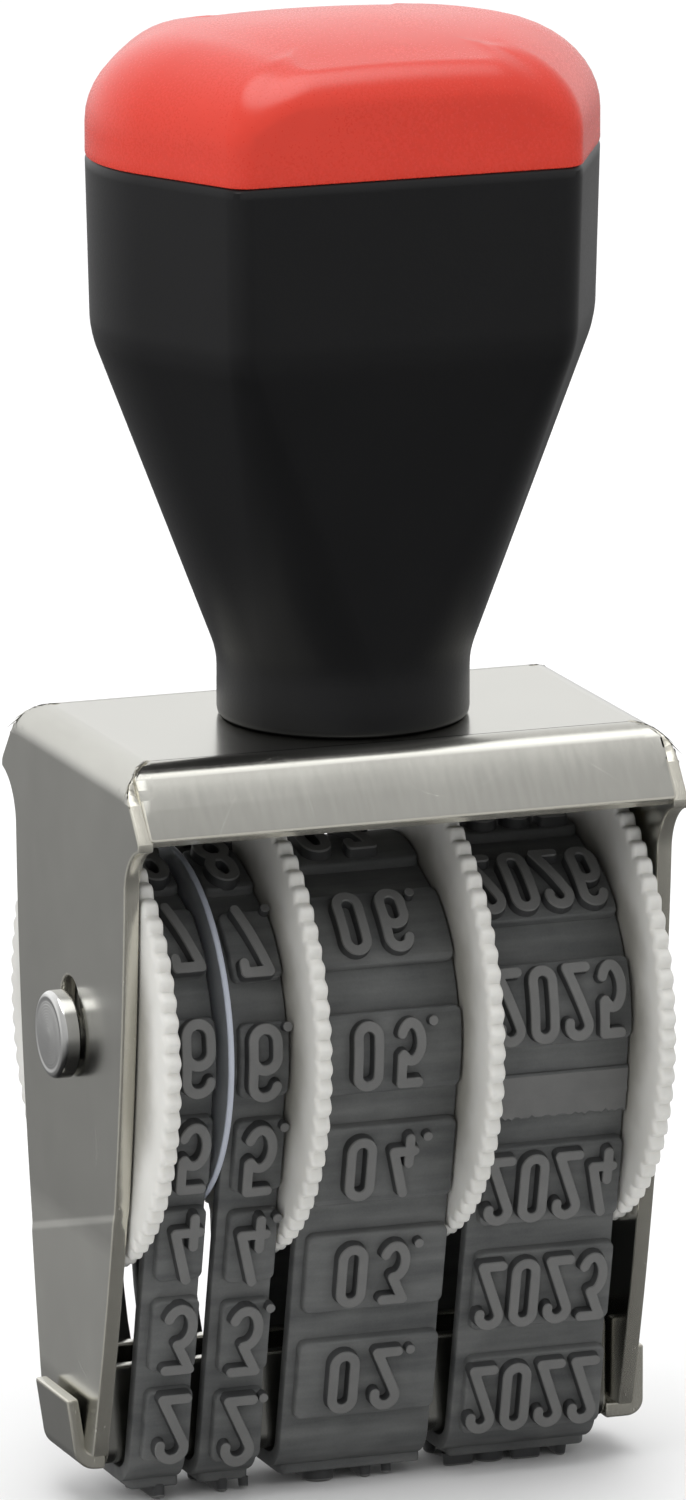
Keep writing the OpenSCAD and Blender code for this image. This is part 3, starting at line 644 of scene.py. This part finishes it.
def front_place(s):
    """Middle of the strip at a length up the front from the print position: y, z and turn."""
    r = CORNER_PATH + PITCH
    if s <= CORNER_Y:
        return -s, BRIDGE_Z - BAND_GAP - PITCH, 0.0
    if s <= CORNER_Y + CORNER_ARC:
        a = (s - CORNER_Y) / r
        return -CORNER_Y - r * math.sin(a), CORNER_Z - r * math.cos(a), a
    if s <= CORNER_Y + CORNER_ARC + RUN:
        u = s - CORNER_Y - CORNER_ARC
        a = math.pi / 2 - LEAN
        return (-CORNER_Y - r * math.sin(a) - u * math.sin(LEAN),
                CORNER_Z - r * math.cos(a) + u * math.cos(LEAN), a)
    r = DRUM_PATH + PITCH
    a = math.pi / 2 - LEAN + (s - CORNER_Y - CORNER_ARC - RUN) / r
    return -r * math.sin(a), AXLE_Z - r * math.cos(a), a


def band_place(s):
    """Middle of the strip at a length either way; it is slack over the drum and down the back."""
    s -= LOOP * round(s / LOOP)
    y, z, a = front_place(abs(s))
    off = math.copysign(math.pi - a, s) + CREST_BACK
    lift = CREST * max(1 - (off / CREST_SPAN) ** 2, 0) ** 2
    y, z = y - lift * math.sin(a), z - lift * math.cos(a)
    if s >= 0:
        return y, z, a
    u = min(max((abs(s) - CORNER_Y - CORNER_ARC) / RUN, 0), 1)
    sag = SLACK * math.sin(math.pi * u ** SLACK_LOW) ** 2
    return sag * math.cos(LEAN) - y, z - sag * math.sin(LEAN), -a


def band_turn(s):
    """Angle that the strip has turned through at a length s from the print position."""
    laps = round(s / LOOP)
    s -= LOOP * laps
    return math.copysign(front_place(abs(s))[2], s) + 2 * math.pi * laps


STRIP_S = np.linspace(-LOOP, 2 * LOOP, 6001)
RAISED_S = np.array([s + LIFT * band_turn(s) for s in STRIP_S])


def band_point(s, x, along, out):
    """A point on the band: a length along its raised side from s, and out from the strip's middle."""
    y, z, a = band_place(float(np.interp(s + LIFT * band_turn(s) - along, RAISED_S, STRIP_S)))
    return (x, y - out * math.sin(a), z - out * math.cos(a))


def figure_strokes(size):
    """Centre lines of the figures 0 to 9 in a size (width, height), upright and centred."""
    a, b = size[0] / 2 - STROKE_R, size[1] / 2 - STROKE_R
    oval = arc(0, b - a, a, a, 0, 180, 14) + arc(0, a - b, a, a, 180, 360, 14)
    six = arc(0, b - a, a, a, 10, 180, 14) + arc(0, a - b, a, a, 180, 360, 14)
    six += arc(0, 0.19 * b - a, a, a, 0, 180, 14)
    bowl_three = arc(-0.05 * a, -0.42 * b, 1.05 * a, 0.58 * b, 80, -152, 22)
    bowl_five = arc(0, -0.38 * b, a, 0.62 * b, 138, -152, 24)
    return [
        [oval + oval[:1]],
        [[(-0.75 * a, 0.6 * b), (0.02, b), (0.08, b), (0.08, -b)]],
        [arc(0, b - a, a, a, 195, -28, 18) + [(-a, -b), (a, -b)]],
        [[(-a, b), (0.95 * a, b), (-0.15 * a, 0.17 * b)] + bowl_three],
        [[(0.1 * a, b), (-a, -0.54 * b), (a, -0.54 * b)], [(0.52 * a, -0.08 * b), (0.52 * a, -b)]],
        [[(0.8 * a, b), (-0.88 * a, b), (-0.88 * a, 0.08 * b)] + bowl_five],
        [six],
        [[(-a, 0.72 * b), (-a, b), (a, b), (-0.6 * a, -b)]],
        [arc(0, 0.49 * b, 0.88 * a, 0.51 * b, -90, 270, 28), arc(0, -0.49 * b, a, 0.51 * b, 90, 450, 28)],
        [[(-x, -y) for x, y in six]],
    ]


def distance_to(strokes, points):
    """Distance from each point to the nearest centre line."""
    best = np.full(len(points), 1e9)
    for line in strokes:
        line = np.array(line)
        for a, b in zip(line[:-1], line[1:]):
            way = b - a
            t = np.clip((points - a) @ way / max(way @ way, 1e-12), 0, 1)
            gap = points - a - t[:, None] * way
            best = np.minimum(best, np.sqrt((gap * gap).sum(1)))
    return best


def stroke_outline(strokes, radius, step=GRID_STEP):
    """Closed outlines at a radius round the centre lines, walked along a fine grid."""
    spots = np.concatenate([np.array(line) for line in strokes])
    low = spots.min(0) - radius - 2 * step
    count = np.ceil((spots.max(0) + radius + 2 * step - low) / step).astype(int) + 1
    grid = np.stack(np.meshgrid(np.arange(count[0]), np.arange(count[1]), indexing="ij"), -1)
    field = distance_to(strokes, (grid * step + low).reshape(-1, 2)).reshape(count) - radius
    follow = {}
    corners = [(0, 0), (1, 0), (1, 1), (0, 1)]
    for i in range(count[0] - 1):
        for j in range(count[1] - 1):
            values = [field[i + x, j + y] for x, y in corners]
            inside = [v < 0 for v in values]
            if all(inside) or not any(inside):
                continue
            ins, outs = [], []
            for k in range(4):
                p, q = corners[k], corners[(k + 1) % 4]
                if inside[k] != inside[(k + 1) % 4]:
                    key = tuple(sorted(((i + p[0], j + p[1]), (i + q[0], j + q[1]))))
                    (outs if inside[k] else ins).append(key)
            for start, end in zip(outs, ins if len(ins) == 1 else ins[1:] + ins[:1]):
                follow[start] = end
    loops = []
    while follow:
        key, end = follow.popitem()
        loop = [key]
        while end in follow:
            loop.append(end)
            end = follow.pop(end)
        points = []
        for p, q in loop:
            u, v = field[p], field[q]
            points.append((np.array(p) + (np.array(q) - np.array(p)) * u / (u - v)) * step + low)
        loops.append(np.array(points))
    return loops


def thin_loop(loop):
    """Drops the points of an outline that lie on the line between their neighbours."""
    kept = [loop[0]]
    for i in range(1, len(loop)):
        ahead = loop[(i + 1) % len(loop)] - kept[-1]
        gap = loop[i] - kept[-1]
        off = abs(ahead[0] * gap[1] - ahead[1] * gap[0]) / max(math.hypot(*ahead), 1e-9)
        if off > LOOP_SLACK or math.hypot(*gap) > LOOP_REACH:
            kept.append(loop[i])
    return np.array(kept)


def figure_rings(strokes):
    """Outlines of a figure from its foot up to its face: (ring of points, height) for each loop."""
    shapes = []
    for loop in stroke_outline(strokes, STROKE_R):
        loop = thin_loop(loop)
        nudge = 0.01
        gx = distance_to(strokes, loop + (nudge, 0)) - distance_to(strokes, loop - (nudge, 0))
        gy = distance_to(strokes, loop + (0, nudge)) - distance_to(strokes, loop - (0, nudge))
        normal = np.stack([gx, gy], 1)
        normal /= np.maximum(np.linalg.norm(normal, axis=1), 1e-9)[:, None]
        turned = np.roll(loop, -1, 0)
        inside = (loop[:, 0] * turned[:, 1] - loop[:, 1] * turned[:, 0]).sum() / 2
        room = 1.0 if abs(inside) > SMALL_LOOP else 0.3
        steps = [(0.10, -0.1), (0.09, 0.03), (0.03, RELIEF - 0.10), (0.01, RELIEF - 0.03), (-0.02, RELIEF)]
        shapes.append([(loop + normal * grow * room, height) for grow, height in steps])
    return shapes


SIZES = {"day": (1.94, 4.25), "month": (1.72, 3.8), "year": (1.66, 4.15)}
SHAPES = {name: [figure_rings(strokes) for strokes in figure_strokes(size)]
          for name, size in SIZES.items()}
DOT = figure_rings([[(0.0, 0.0), (0.001, 0.0)]])


def raise_shape(bm, shapes, put):
    """Walls darkened by ink stain and painted shade, and the rubbed face, of a raised figure; put places a
    point of its plan at a height.
    """
    face_edges = []
    for rings in shapes:
        rows = [[bm.verts.new(put(x, y, h)) for x, y in ring] for ring, h in rings]
        for step, (low, high) in enumerate(zip(rows, rows[1:])):
            for i in range(len(low)):
                wall = bm.faces.new([low[i - 1], low[i], high[i], high[i - 1]])
                # The lower walls take the dark finish: ink stain with painted shade.
                wall.material_index = 2 if step < 2 else 1
        top = rows[-1]
        face_edges += [bm.edges.get((top[i - 1], top[i])) for i in range(len(top))]
    for face in bmesh.ops.triangle_fill(bm, edges=face_edges, use_beauty=True)["geom"]:
        if isinstance(face, bmesh.types.BMFace):
            face.material_index = 1


def pad_side(half_x, half_y, r):
    """The right side of a pad's outline, from its lower end to its upper end."""
    low = [(half_x - r + u, half_y - r + v) for u, v in arc(0, 0, r, r, 90, 0, 5)]
    straight = [(half_x, (half_y - r) * (1 - i / 5)) for i in range(1, 10)]
    return low + straight + [(u, -v) for u, v in low[::-1]]


def raise_pad(bm, s, x, width, length):
    """A moulded pad with sloping sides and soft edges; its foot is sunk into the strip."""
    steps = [(0.10, -0.35), (0.08, 0.02), (0.02, PAD_H - 0.12), (-0.03, PAD_H - 0.04), (-0.10, PAD_H)]
    rows = []
    for grow, h in steps:
        side = pad_side(width / 2 + min(grow, 0.05), length / 2 + grow, PAD_R + grow)
        loop = side + [(-u, v) for u, v in side[::-1]]
        rows.append([bm.verts.new(band_point(s, x + u, v, PITCH + h)) for u, v in loop])
    for low, high in zip(rows, rows[1:]):
        for i in range(len(low)):
            bm.faces.new([low[i - 1], low[i], high[i], high[i - 1]])
    top = rows[-1]
    for i in range(len(top) // 2 - 1):
        bm.faces.new([top[i], top[i + 1], top[-2 - i], top[-1 - i]])


def raise_figure(bm, shapes, s, x):
    raise_shape(bm, shapes, lambda u, v, h: band_point(s, x + u, v, PITCH + PAD_H + h))


def lay_strip(bm, x, width):
    """The running strip, swept round the drum and the bridge with rounded edges."""
    half, e = width / 2, STRIP_EDGE
    section = [(half - e, -PITCH), (half - e / 3, -PITCH + e / 3), (half, -PITCH + e), (half, PITCH - e),
               (half - e / 3, PITCH - e / 3), (half - e, PITCH)]
    section += [(-u, v) for u, v in section[::-1]]
    stops = []
    spans = [(0, CORNER_Y, 2), (CORNER_Y, CORNER_ARC, 10), (CORNER_Y + CORNER_ARC, RUN, 12),
             (CORNER_Y + CORNER_ARC + RUN, DRUM_ARC / 2, 40)]
    for start, length, count in spans:
        stops += [start + length * i / count for i in range(count)]
    stops = stops + [LOOP / 2] + [LOOP - s for s in stops[:0:-1]]
    rows = [[bm.verts.new(band_point(s, x + u, 0, v)) for u, v in section] for s in stops]
    for low, high in zip(rows, rows[1:] + rows[:1]):
        for i in range(len(section)):
            bm.faces.new([low[i - 1], low[i], high[i], high[i - 1]])


band_rubber, wire = new_finish("band_rubber")
dust = wire.noise(0.6, 4.0)
grain = wire.noise(8.0, 3.0)
streak = wire.noise(1.1, 4.0, (9.0, 1.0, 1.0))
wear = (streak * 0.6 + dust * 0.25 + grain * 0.15).ramp(0.34, 0.66)
close_finish(
    wire,
    Base_Color=wear.mix((0.074, 0.077, 0.078, 1), (0.142, 0.145, 0.142, 1)),
    Roughness=grain * 0.16 + dust * 0.10 + 0.48,
    Specular_IOR_Level=0.4,
    Normal=wire.bump(grain * 0.4 + dust * 0.2 + streak * 0.4, 0.26, 0.04),
)

rubbed_rubber, wire = new_finish("rubbed_rubber")
dust = wire.noise(0.9, 4.0)
grain = wire.noise(8.0, 3.0)
close_finish(
    wire,
    Base_Color=(dust * 0.7 + grain * 0.3).mix((0.120, 0.121, 0.119, 1), (0.170, 0.170, 0.166, 1)),
    Roughness=grain * 0.16 + dust * 0.10 + 0.44,
    Specular_IOR_Level=0.4,
    Normal=wire.bump(grain * 0.6 + dust * 0.4, 0.22, 0.03),
)

# Figure walls: dark rubber, ink stain with painted shade standing in for the shade that falls round each
# raised figure.
ink_and_painted_shade_rubber, wire = new_finish("ink_and_painted_shade_rubber")
dust = wire.noise(0.9, 4.0)
close_finish(
    wire,
    Base_Color=dust.mix((0.034, 0.035, 0.036, 1), (0.064, 0.065, 0.066, 1)),
    Roughness=dust * 0.2 + 0.45,
    Specular_IOR_Level=0.35,
    Normal=wire.bump(dust, 0.2, 0.03),
)

BANDS = {"tens": (-12.335, 3.35), "units": (-8.16, 3.5), "month": (-0.725, 8.85), "year": (9.36, 8.8)}
DAY_PLACES, DAY_FIGURES, DAY_JOINT, DAY_END, DAYS_BEFORE = 14, 10, 0.5, 3.4, 6
MONTH_PLACES, MONTH_JOINT, MONTH_WIND = 12, 2.75, 1.45
YEAR_PLACES, YEAR_JOINT, YEARS_BEFORE, YEAR_WIND, FIRST_YEAR = 12, 4.0, 4, -0.4, 2021
DAY_WIND = {"tens": 0.6, "units": 0.1}
DAY_SHIFT = {"tens": 0.4, "units": 0.12}
MONTH_SHIFT, MONTH_STEP, YEAR_STEP = -0.05, 2.5, 2.02
DAY_PAD, PAD_LEFT, PAD_RIGHT = 4.3, 0.6, 0.06
FIRST_MONTH_BACK = 1.2
day_step = (LOOP - DAY_JOINT - DAY_END) / DAY_PLACES
month_step = (LOOP - MONTH_JOINT) / MONTH_PLACES
year_step = (LOOP - YEAR_JOINT) / YEAR_PLACES


def day_place(i):
    """Length along a day band of its pad i."""
    return i * day_step + (0 if i < DAYS_BEFORE else DAY_JOINT)


def year_place(i):
    """Length along the year band of its pad i; a wider gap takes the lap."""
    return i * year_step + (0 if i < YEARS_BEFORE else YEAR_JOINT) + YEAR_WIND


def full_stop(bm, s, x, height):
    low = STROKE_R - height / 2
    raise_shape(bm, DOT, lambda u, v, h: band_point(s, x + u, v + low, PITCH + PAD_H + h * 0.8))


def torn_lap(bm, s, x, width):
    """The glued lap of the year band: a thin raised layer with a ragged lower edge and a ridge."""
    rows = []
    columns = 44
    for along, out in ((1.5, -0.2), (1.42, 0.12), (1.3, 0.20), (0.35, 0.22), (0.15, 0.33), (0.0, 0.33),
                       (-0.2, 0.24), (-1.15, 0.30), (-1.28, 0.24), (-1.34, -0.2)):
        row = []
        for i in range(columns + 1):
            u = width * (i / columns - 0.5)
            ragged = 0.06 * math.sin(7.1 * u + 0.6) + 0.09 * math.sin(15.3 * u) * math.sin(2.1 * u + 1.0)
            fall = ragged if along < -1.0 else 0.0
            row.append(bm.verts.new(band_point(s, x + u, -along + fall, PITCH + out)))
        rows.append(row)
    for step, (low, high) in enumerate(zip(rows, rows[1:])):
        for i in range(columns):
            skin = bm.faces.new([low[i], low[i + 1], high[i + 1], high[i]])
            skin.material_index = 1 if 1 < step < 7 else 0
    for edge in (0, columns):
        bm.faces.new([row[edge] for row in rows])
    bm.faces.new(rows[0] + rows[-1][::-1])


for row, (x, width) in BANDS.items():
    bm = bmesh.new()
    lay_strip(bm, x, width)
    pad_w = width - PAD_LEFT - PAD_RIGHT
    pad_x = x + (PAD_LEFT - PAD_RIGHT) / 2
    if row in DAY_WIND:
        for i in range(DAY_PLACES):
            s = day_place(i) + DAY_WIND[row]
            raise_pad(bm, s, pad_x, pad_w, DAY_PAD)
            if i < DAY_FIGURES:
                raise_figure(bm, SHAPES["day"][(i + 1) % 10], s, x + DAY_SHIFT[row])
                if row == "units":
                    full_stop(bm, s, x + DAY_SHIFT[row] + STOP_STEP, SIZES["day"][1])
    elif row == "month":
        for i in range(MONTH_PLACES):
            s = i * month_step + MONTH_WIND - (0 if i else FIRST_MONTH_BACK)
            raise_pad(bm, s, pad_x, pad_w, PAD_LEN)
            for k, digit in enumerate(((i + 1) // 10, (i + 1) % 10)):
                raise_figure(bm, SHAPES["month"][digit], s, x + MONTH_SHIFT + (k - 0.5) * MONTH_STEP)
            full_stop(bm, s, x + MONTH_SHIFT + MONTH_STEP / 2 + STOP_STEP, SIZES["month"][1])
    else:
        for i in range(YEAR_PLACES):
            raise_pad(bm, year_place(i), pad_x, pad_w, PAD_LEN)
            for k, digit in enumerate(str(FIRST_YEAR + i)):
                raise_figure(bm, SHAPES["year"][int(digit)], year_place(i), x + (k - 1.5) * YEAR_STEP)
        torn_lap(bm, (year_place(YEARS_BEFORE - 1) + year_place(YEARS_BEFORE)) / 2, x, width - 0.06)
    add_piece(row + "_date_band", bm, [band_rubber, rubbed_rubber, ink_and_painted_shade_rubber], "stamp_body",
              row + "_band", 30.0)


# Handle body: black plastic moulding with a fine satin grain. A round neck stands on the top plate
# and flares into a six-sided grip with flat front and back; a screw from below holds it.
NECK_R = 7.0
NECK_Z = TOP_Z
NECK_TOP = NECK_Z + 3.6
SHOULDER_Z = NECK_TOP + 18.4
CAP_Z = SHOULDER_Z + 9.8
GRIP_W = 29.0
GRIP_D = 21.0
SIDE_R = 8.5
CORNER_R = 1.7
FACE_X = 8.9
GRIP_DRAFT = 0.25
SHOULDER_SOFT = 1.0
FLARE_SOFT = 0.8
SEAM_H, SEAM_W = 0.2, 0.16

black_plastic, wire = new_finish("black_plastic")
pores = wire.noise(5.0, 3.0)
wipe = wire.noise(0.10, 4.0)
close_finish(
    wire,
    Base_Color=wipe.mix((0.0040, 0.0041, 0.0047, 1), (0.0064, 0.0065, 0.0072, 1)),
    Roughness=pores * 0.10 + wipe * 0.10 + 0.28,
    Specular_IOR_Level=0.46,
    Normal=wire.bump(pores, 0.16, 0.03),
)


def grip_plan():
    """Points round the grip with the direction each one faces, in degrees."""
    side_x = GRIP_W / 2 - SIDE_R
    face_y = GRIP_D / 2 - CORNER_R
    slant = math.degrees(math.atan2(face_y, FACE_X - side_x)
                         - math.acos((SIDE_R - CORNER_R) / math.hypot(FACE_X - side_x, face_y)))

    def rounding(cx, cy, r, start, end, steps):
        facing = [start + (end - start) * i / steps for i in range(steps + 1)]
        return list(zip(arc(cx, cy, r, r, start, end, steps), facing))

    quarter = rounding(side_x, 0, SIDE_R, 0, slant, 8)
    corner = rounding(FACE_X, face_y, CORNER_R, slant, 90, 14)
    (ax, ay), (bx, by) = quarter[-1][0], corner[0][0]
    quarter += [((ax + (bx - ax) * i / 7, ay + (by - ay) * i / 7), slant) for i in range(1, 7)]
    quarter += corner
    (ax, ay) = corner[-1][0]
    quarter += [((ax * (1 - i / 14), ay), 90.0) for i in range(1, 15)]
    half = quarter + [((-x, y), 180 - a) for (x, y), a in quarter[-2::-1]]
    return half + [((-x, -y), a + 180) for (x, y), a in half[1:-1]]


def handle_profile():
    """Heights up the handle with the share of the grip's plan there: 0 is the neck, 1 the grip."""
    rows = [(NECK_Z + z, -inset) for inset, z in ((0.45, 0.0), (0.2, 0.06), (0.05, 0.22), (0.0, 0.5))]
    rows += [((NECK_Z + NECK_TOP) / 2, 0.0), (NECK_TOP - FLARE_SOFT, 0.0)]
    flare = SHOULDER_Z - NECK_TOP
    for t in (0.25, 0.5, 0.75, 1.0):
        rows.append((NECK_TOP + FLARE_SOFT * (2 * t - 1), FLARE_SOFT / flare * t * t))
    rows += [(NECK_TOP + flare * t, t) for t in (0.2, 0.4, 0.6, 1 - SHOULDER_SOFT / flare)]
    for i in range(1, 9):
        t = i / 8
        z = SHOULDER_Z + SHOULDER_SOFT * (2 * t - 1)
        rows.append((z, 1 - SHOULDER_SOFT / flare * (1 - t) ** 2))
    return rows + [(SHOULDER_Z + 6.0, 1.0)] + [(CAP_Z - low, 1.0) for low in (0.6, 0.22, 0.06, 0.0)]


def handle_point(p, facing, z, share):
    """A point of the handle between the round neck and the grip's plan."""
    polar = math.degrees(math.atan2(p[1], p[0])) % 360
    turn = math.radians(facing + 0.12 * ((polar - facing + 180) % 360 - 180))
    neck = NECK_R + min(share, 0)
    share = max(share, 0)
    inset = GRIP_DRAFT * min(max((CAP_Z - z) / (CAP_Z - SHOULDER_Z), 0), 1)
    if z > CAP_Z - SEAM_H:
        inset += SEAM_W * (z - CAP_Z + SEAM_H) / SEAM_H
    gx, gy = p[0] * (1 - 2 * inset / GRIP_W), p[1] * (1 - 2 * inset / GRIP_D)
    return (gx * share + neck * math.cos(turn) * (1 - share),
            gy * share + neck * math.sin(turn) * (1 - share), z)


def loft(bm, rows):
    for low, high in zip(rows, rows[1:]):
        for i in range(len(low)):
            bm.faces.new([low[i - 1], low[i], high[i], high[i - 1]])


PLAN = grip_plan()
bm = bmesh.new()
rows = [[bm.verts.new(handle_point(p, a, z, share)) for p, a in PLAN] for z, share in handle_profile()]
loft(bm, rows)
bm.faces.new(rows[0])
bm.faces.new(rows[-1])
add_piece("handle_grip", bm, [black_plastic], "stamp_body", "handle_body", 40.0)


# Handle cap: red plastic cushion plugged into the top of the grip. Its flat front and back rise to
# an arched soft edge under a gently crowned top, and its sides round over more.
CAP_H = 7.2
SIDE_REACH, FACE_REACH = 6.2, 1.8
SIDE_RISE, FACE_RISE = 5.0, 1.9
PANEL_X, FACET_X = 6.0, 10.3
FACET_SHARE = 0.8
SIDE_FALL, FACE_FALL = 0.0055, 0.01328125
FOOT_H = 0.5

red_plastic, wire = new_finish("red_plastic")
pores = wire.noise(7.0, 2.0)
cloud = wire.noise(0.12, 3.0)
close_finish(
    wire,
    Base_Color=cloud.mix((0.59, 0.025, 0.009, 1), (0.67, 0.034, 0.013, 1)),
    Roughness=pores * 0.08 + cloud * 0.08 + 0.19,
    Specular_IOR_Level=0.75,
    Subsurface_Weight=0.08,
    Subsurface_Radius=(0.0020, 0.0006, 0.0005),
    Subsurface_Scale=1.0,
    Normal=wire.bump(pores, 0.08, 0.02),
)


def crown(x, y):
    """Height of the crowned top over the cap's foot."""
    return CAP_H - SIDE_FALL * x * x - FACE_FALL * y * y


def cap_column(p, facing):
    """Points up one line of the cap, from its foot over the rounding to the middle of the crown."""
    a = math.radians(facing)
    near = min(max((abs(p[0]) - PANEL_X) / (FACET_X - PANEL_X), 0), 1)
    far = max((abs(p[0]) - FACET_X) / (GRIP_W / 2 - FACET_X), 0)
    share = FACET_SHARE * near * near * (3 - 2 * near) + (1 - FACET_SHARE) * far
    reach = FACE_REACH + (SIDE_REACH - FACE_REACH) * share
    rise = FACE_RISE + (SIDE_RISE - FACE_RISE) * share
    support = p[0] * math.cos(a) + p[1] * math.sin(a)
    inner = 1 - reach / support
    top = crown(p[0] * inner, p[1] * inner)
    foot = [(1 - 0.14 / support, 0.0), (1 - 0.04 / support, 0.05), (1.0, 0.2), (1.0, FOOT_H)]
    wall = [(1.0, FOOT_H + (top - rise - FOOT_H) * t) for t in (0.4, 0.8, 1.0)]
    turn = [math.radians(90 * i / 12) for i in range(1, 13)]
    bulge = 1.0 + 0.3 * (1 - share)
    over = [(1 - reach / support * (1 - math.cos(t) ** bulge), top - rise + rise * math.sin(t) ** bulge)
            for t in turn]
    points = [(p[0] * k, p[1] * k, CAP_Z + z) for k, z in foot + wall + over]
    for t in (0.82, 0.64, 0.46, 0.28, 0.12):
        x, y = p[0] * inner * t, p[1] * inner * t
        points.append((x, y, CAP_Z + crown(x, y)))
    return points


bm = bmesh.new()
columns = [cap_column(p, a) for p, a in PLAN]
rows = [[bm.verts.new(column[i]) for column in columns] for i in range(len(columns[0]))]
loft(bm, rows)
bm.faces.new(rows[0])
middle = bm.verts.new((0, 0, CAP_Z + CAP_H))
for i in range(len(PLAN)):
    bm.faces.new([rows[-1][i - 1], rows[-1][i], middle])
add_piece("handle_top_cap", bm, [red_plastic], "stamp_body", "handle_cap", 40.0)


# Screw and washer: plain zinc-plated steel, out of sight under the top plate, where they pull the
# handle down. Their turned shapes are right as they are, so they only get their finish and soft edges.
FASTENER_EDGE = 0.12

zinc_plate, wire = new_finish("zinc_plate")
spangle = wire.noise(1.5, 3.0)
close_finish(
    wire,
    Base_Color=spangle.mix((0.42, 0.42, 0.40, 1), (0.56, 0.55, 0.52, 1)),
    Metallic=1.0,
    Roughness=spangle * 0.2 + 0.26,
    Normal=wire.bump(spangle, 0.1, 0.02),
)
for node in ("handle_screw", "screw_washer"):
    fastener = frame["nodes"][node]
    for holder in [fastener] + list(fastener.children_recursive):
        if holder.type == "MESH":
            holder.data.materials.clear()
            holder.data.materials.append(zinc_plate)
            soften = holder.modifiers.new("edge", "BEVEL")
            soften.width = FASTENER_EDGE * MM
            soften.segments = 2


# Studio: a pale matt floor that runs far past the view, soft light from above and the front left,
# and the camera where the photograph was taken from.
FLOOR_HALF = 3.0
FLOOR_Z = -0.00002
VIEW_FROM = (-0.26526, -0.71465, 0.21596)
VIEW_AT = (0.0012, 0.00324, 0.04043)
FOCAL = 339.34

floor_bm = bmesh.new()
bmesh.ops.create_grid(floor_bm, x_segments=24, y_segments=24, size=FLOOR_HALF)
floor_mesh = bpy.data.meshes.new("studio_floor")
floor_bm.to_mesh(floor_mesh)
floor_bm.free()
floor = bpy.data.objects.new("studio_floor", floor_mesh)
bpy.context.collection.objects.link(floor)
floor.location.z = FLOOR_Z
floor.visible_glossy = False
pale_floor, wire = new_finish("pale_floor")
mottle = wire.noise(0.02, 2.0)
close_finish(wire, Base_Color=mottle.mix((0.86, 0.86, 0.86, 1), (0.89, 0.89, 0.89, 1)), Roughness=0.9,
             Specular_IOR_Level=0.1)
floor_mesh.materials.append(pale_floor)

world = bpy.data.worlds.new("studio")
bpy.context.scene.world = world
world.use_nodes = True
world.node_tree.nodes.clear()
wire = Wire(world.node_tree)
side, back, up = (wire.along(axis, "Generated") for axis in "XYZ")
behind = wire.math("MAXIMUM", back)
zenith = up.ramp(0.87, 0.945, "SMOOTHSTEP")
sky = behind * 0.69 + up * 0.16 + 0.47 + zenith * 2.0
sides = wire.math("ABSOLUTE", side) * 0.20 - side * 0.08
ground = (behind * 0.08 + sides + 0.12) * wire.math("MAXIMUM", up * 1.6 + 1.35, 0.1)
above = up.ramp(-0.30, 0.12, "SMOOTHSTEP")
glow = ground + (sky - ground) * above
wire.node("OutputWorld", None, {"Surface": wire.node("Background", None, {"Color": glow, "Strength": 1.0})})


def soft_box(name, spot, aim, size, watts):
    """A square of soft light that metal does not mirror."""
    lamp = bpy.data.lights.new(name, "AREA")
    lamp.shape = "RECTANGLE"
    lamp.size, lamp.size_y = size
    lamp.energy = watts
    holder = bpy.data.objects.new(name, lamp)
    bpy.context.collection.objects.link(holder)
    holder.location = spot
    holder.visible_glossy = False
    holder.rotation_euler = (Vector(aim) - Vector(spot)).to_track_quat("-Z", "Y").to_euler()


soft_box("overhead_light", (0.05, 0.05, 0.75), (0, 0, 0.03), (0.8, 0.6), 0.8)
soft_box("key_light", (0.45, -0.55, 0.55), (0, 0, 0.03), (0.3, 0.3), 0.6)
soft_box("left_light", (-0.75, -0.22, 0.5), (0, 0, 0.05), (0.5, 0.5), 2.3)

lens = bpy.data.cameras.new("camera")
lens.lens = FOCAL
lens.sensor_width = 36.0
lens.clip_start = 0.01
camera = bpy.data.objects.new("camera", lens)
bpy.context.collection.objects.link(camera)
camera.location = VIEW_FROM
camera.rotation_euler = (Vector(VIEW_AT) - Vector(VIEW_FROM)).to_track_quat("-Z", "Y").to_euler()
bpy.context.scene.camera = camera
bpy.context.scene.view_settings.view_transform = "Standard"
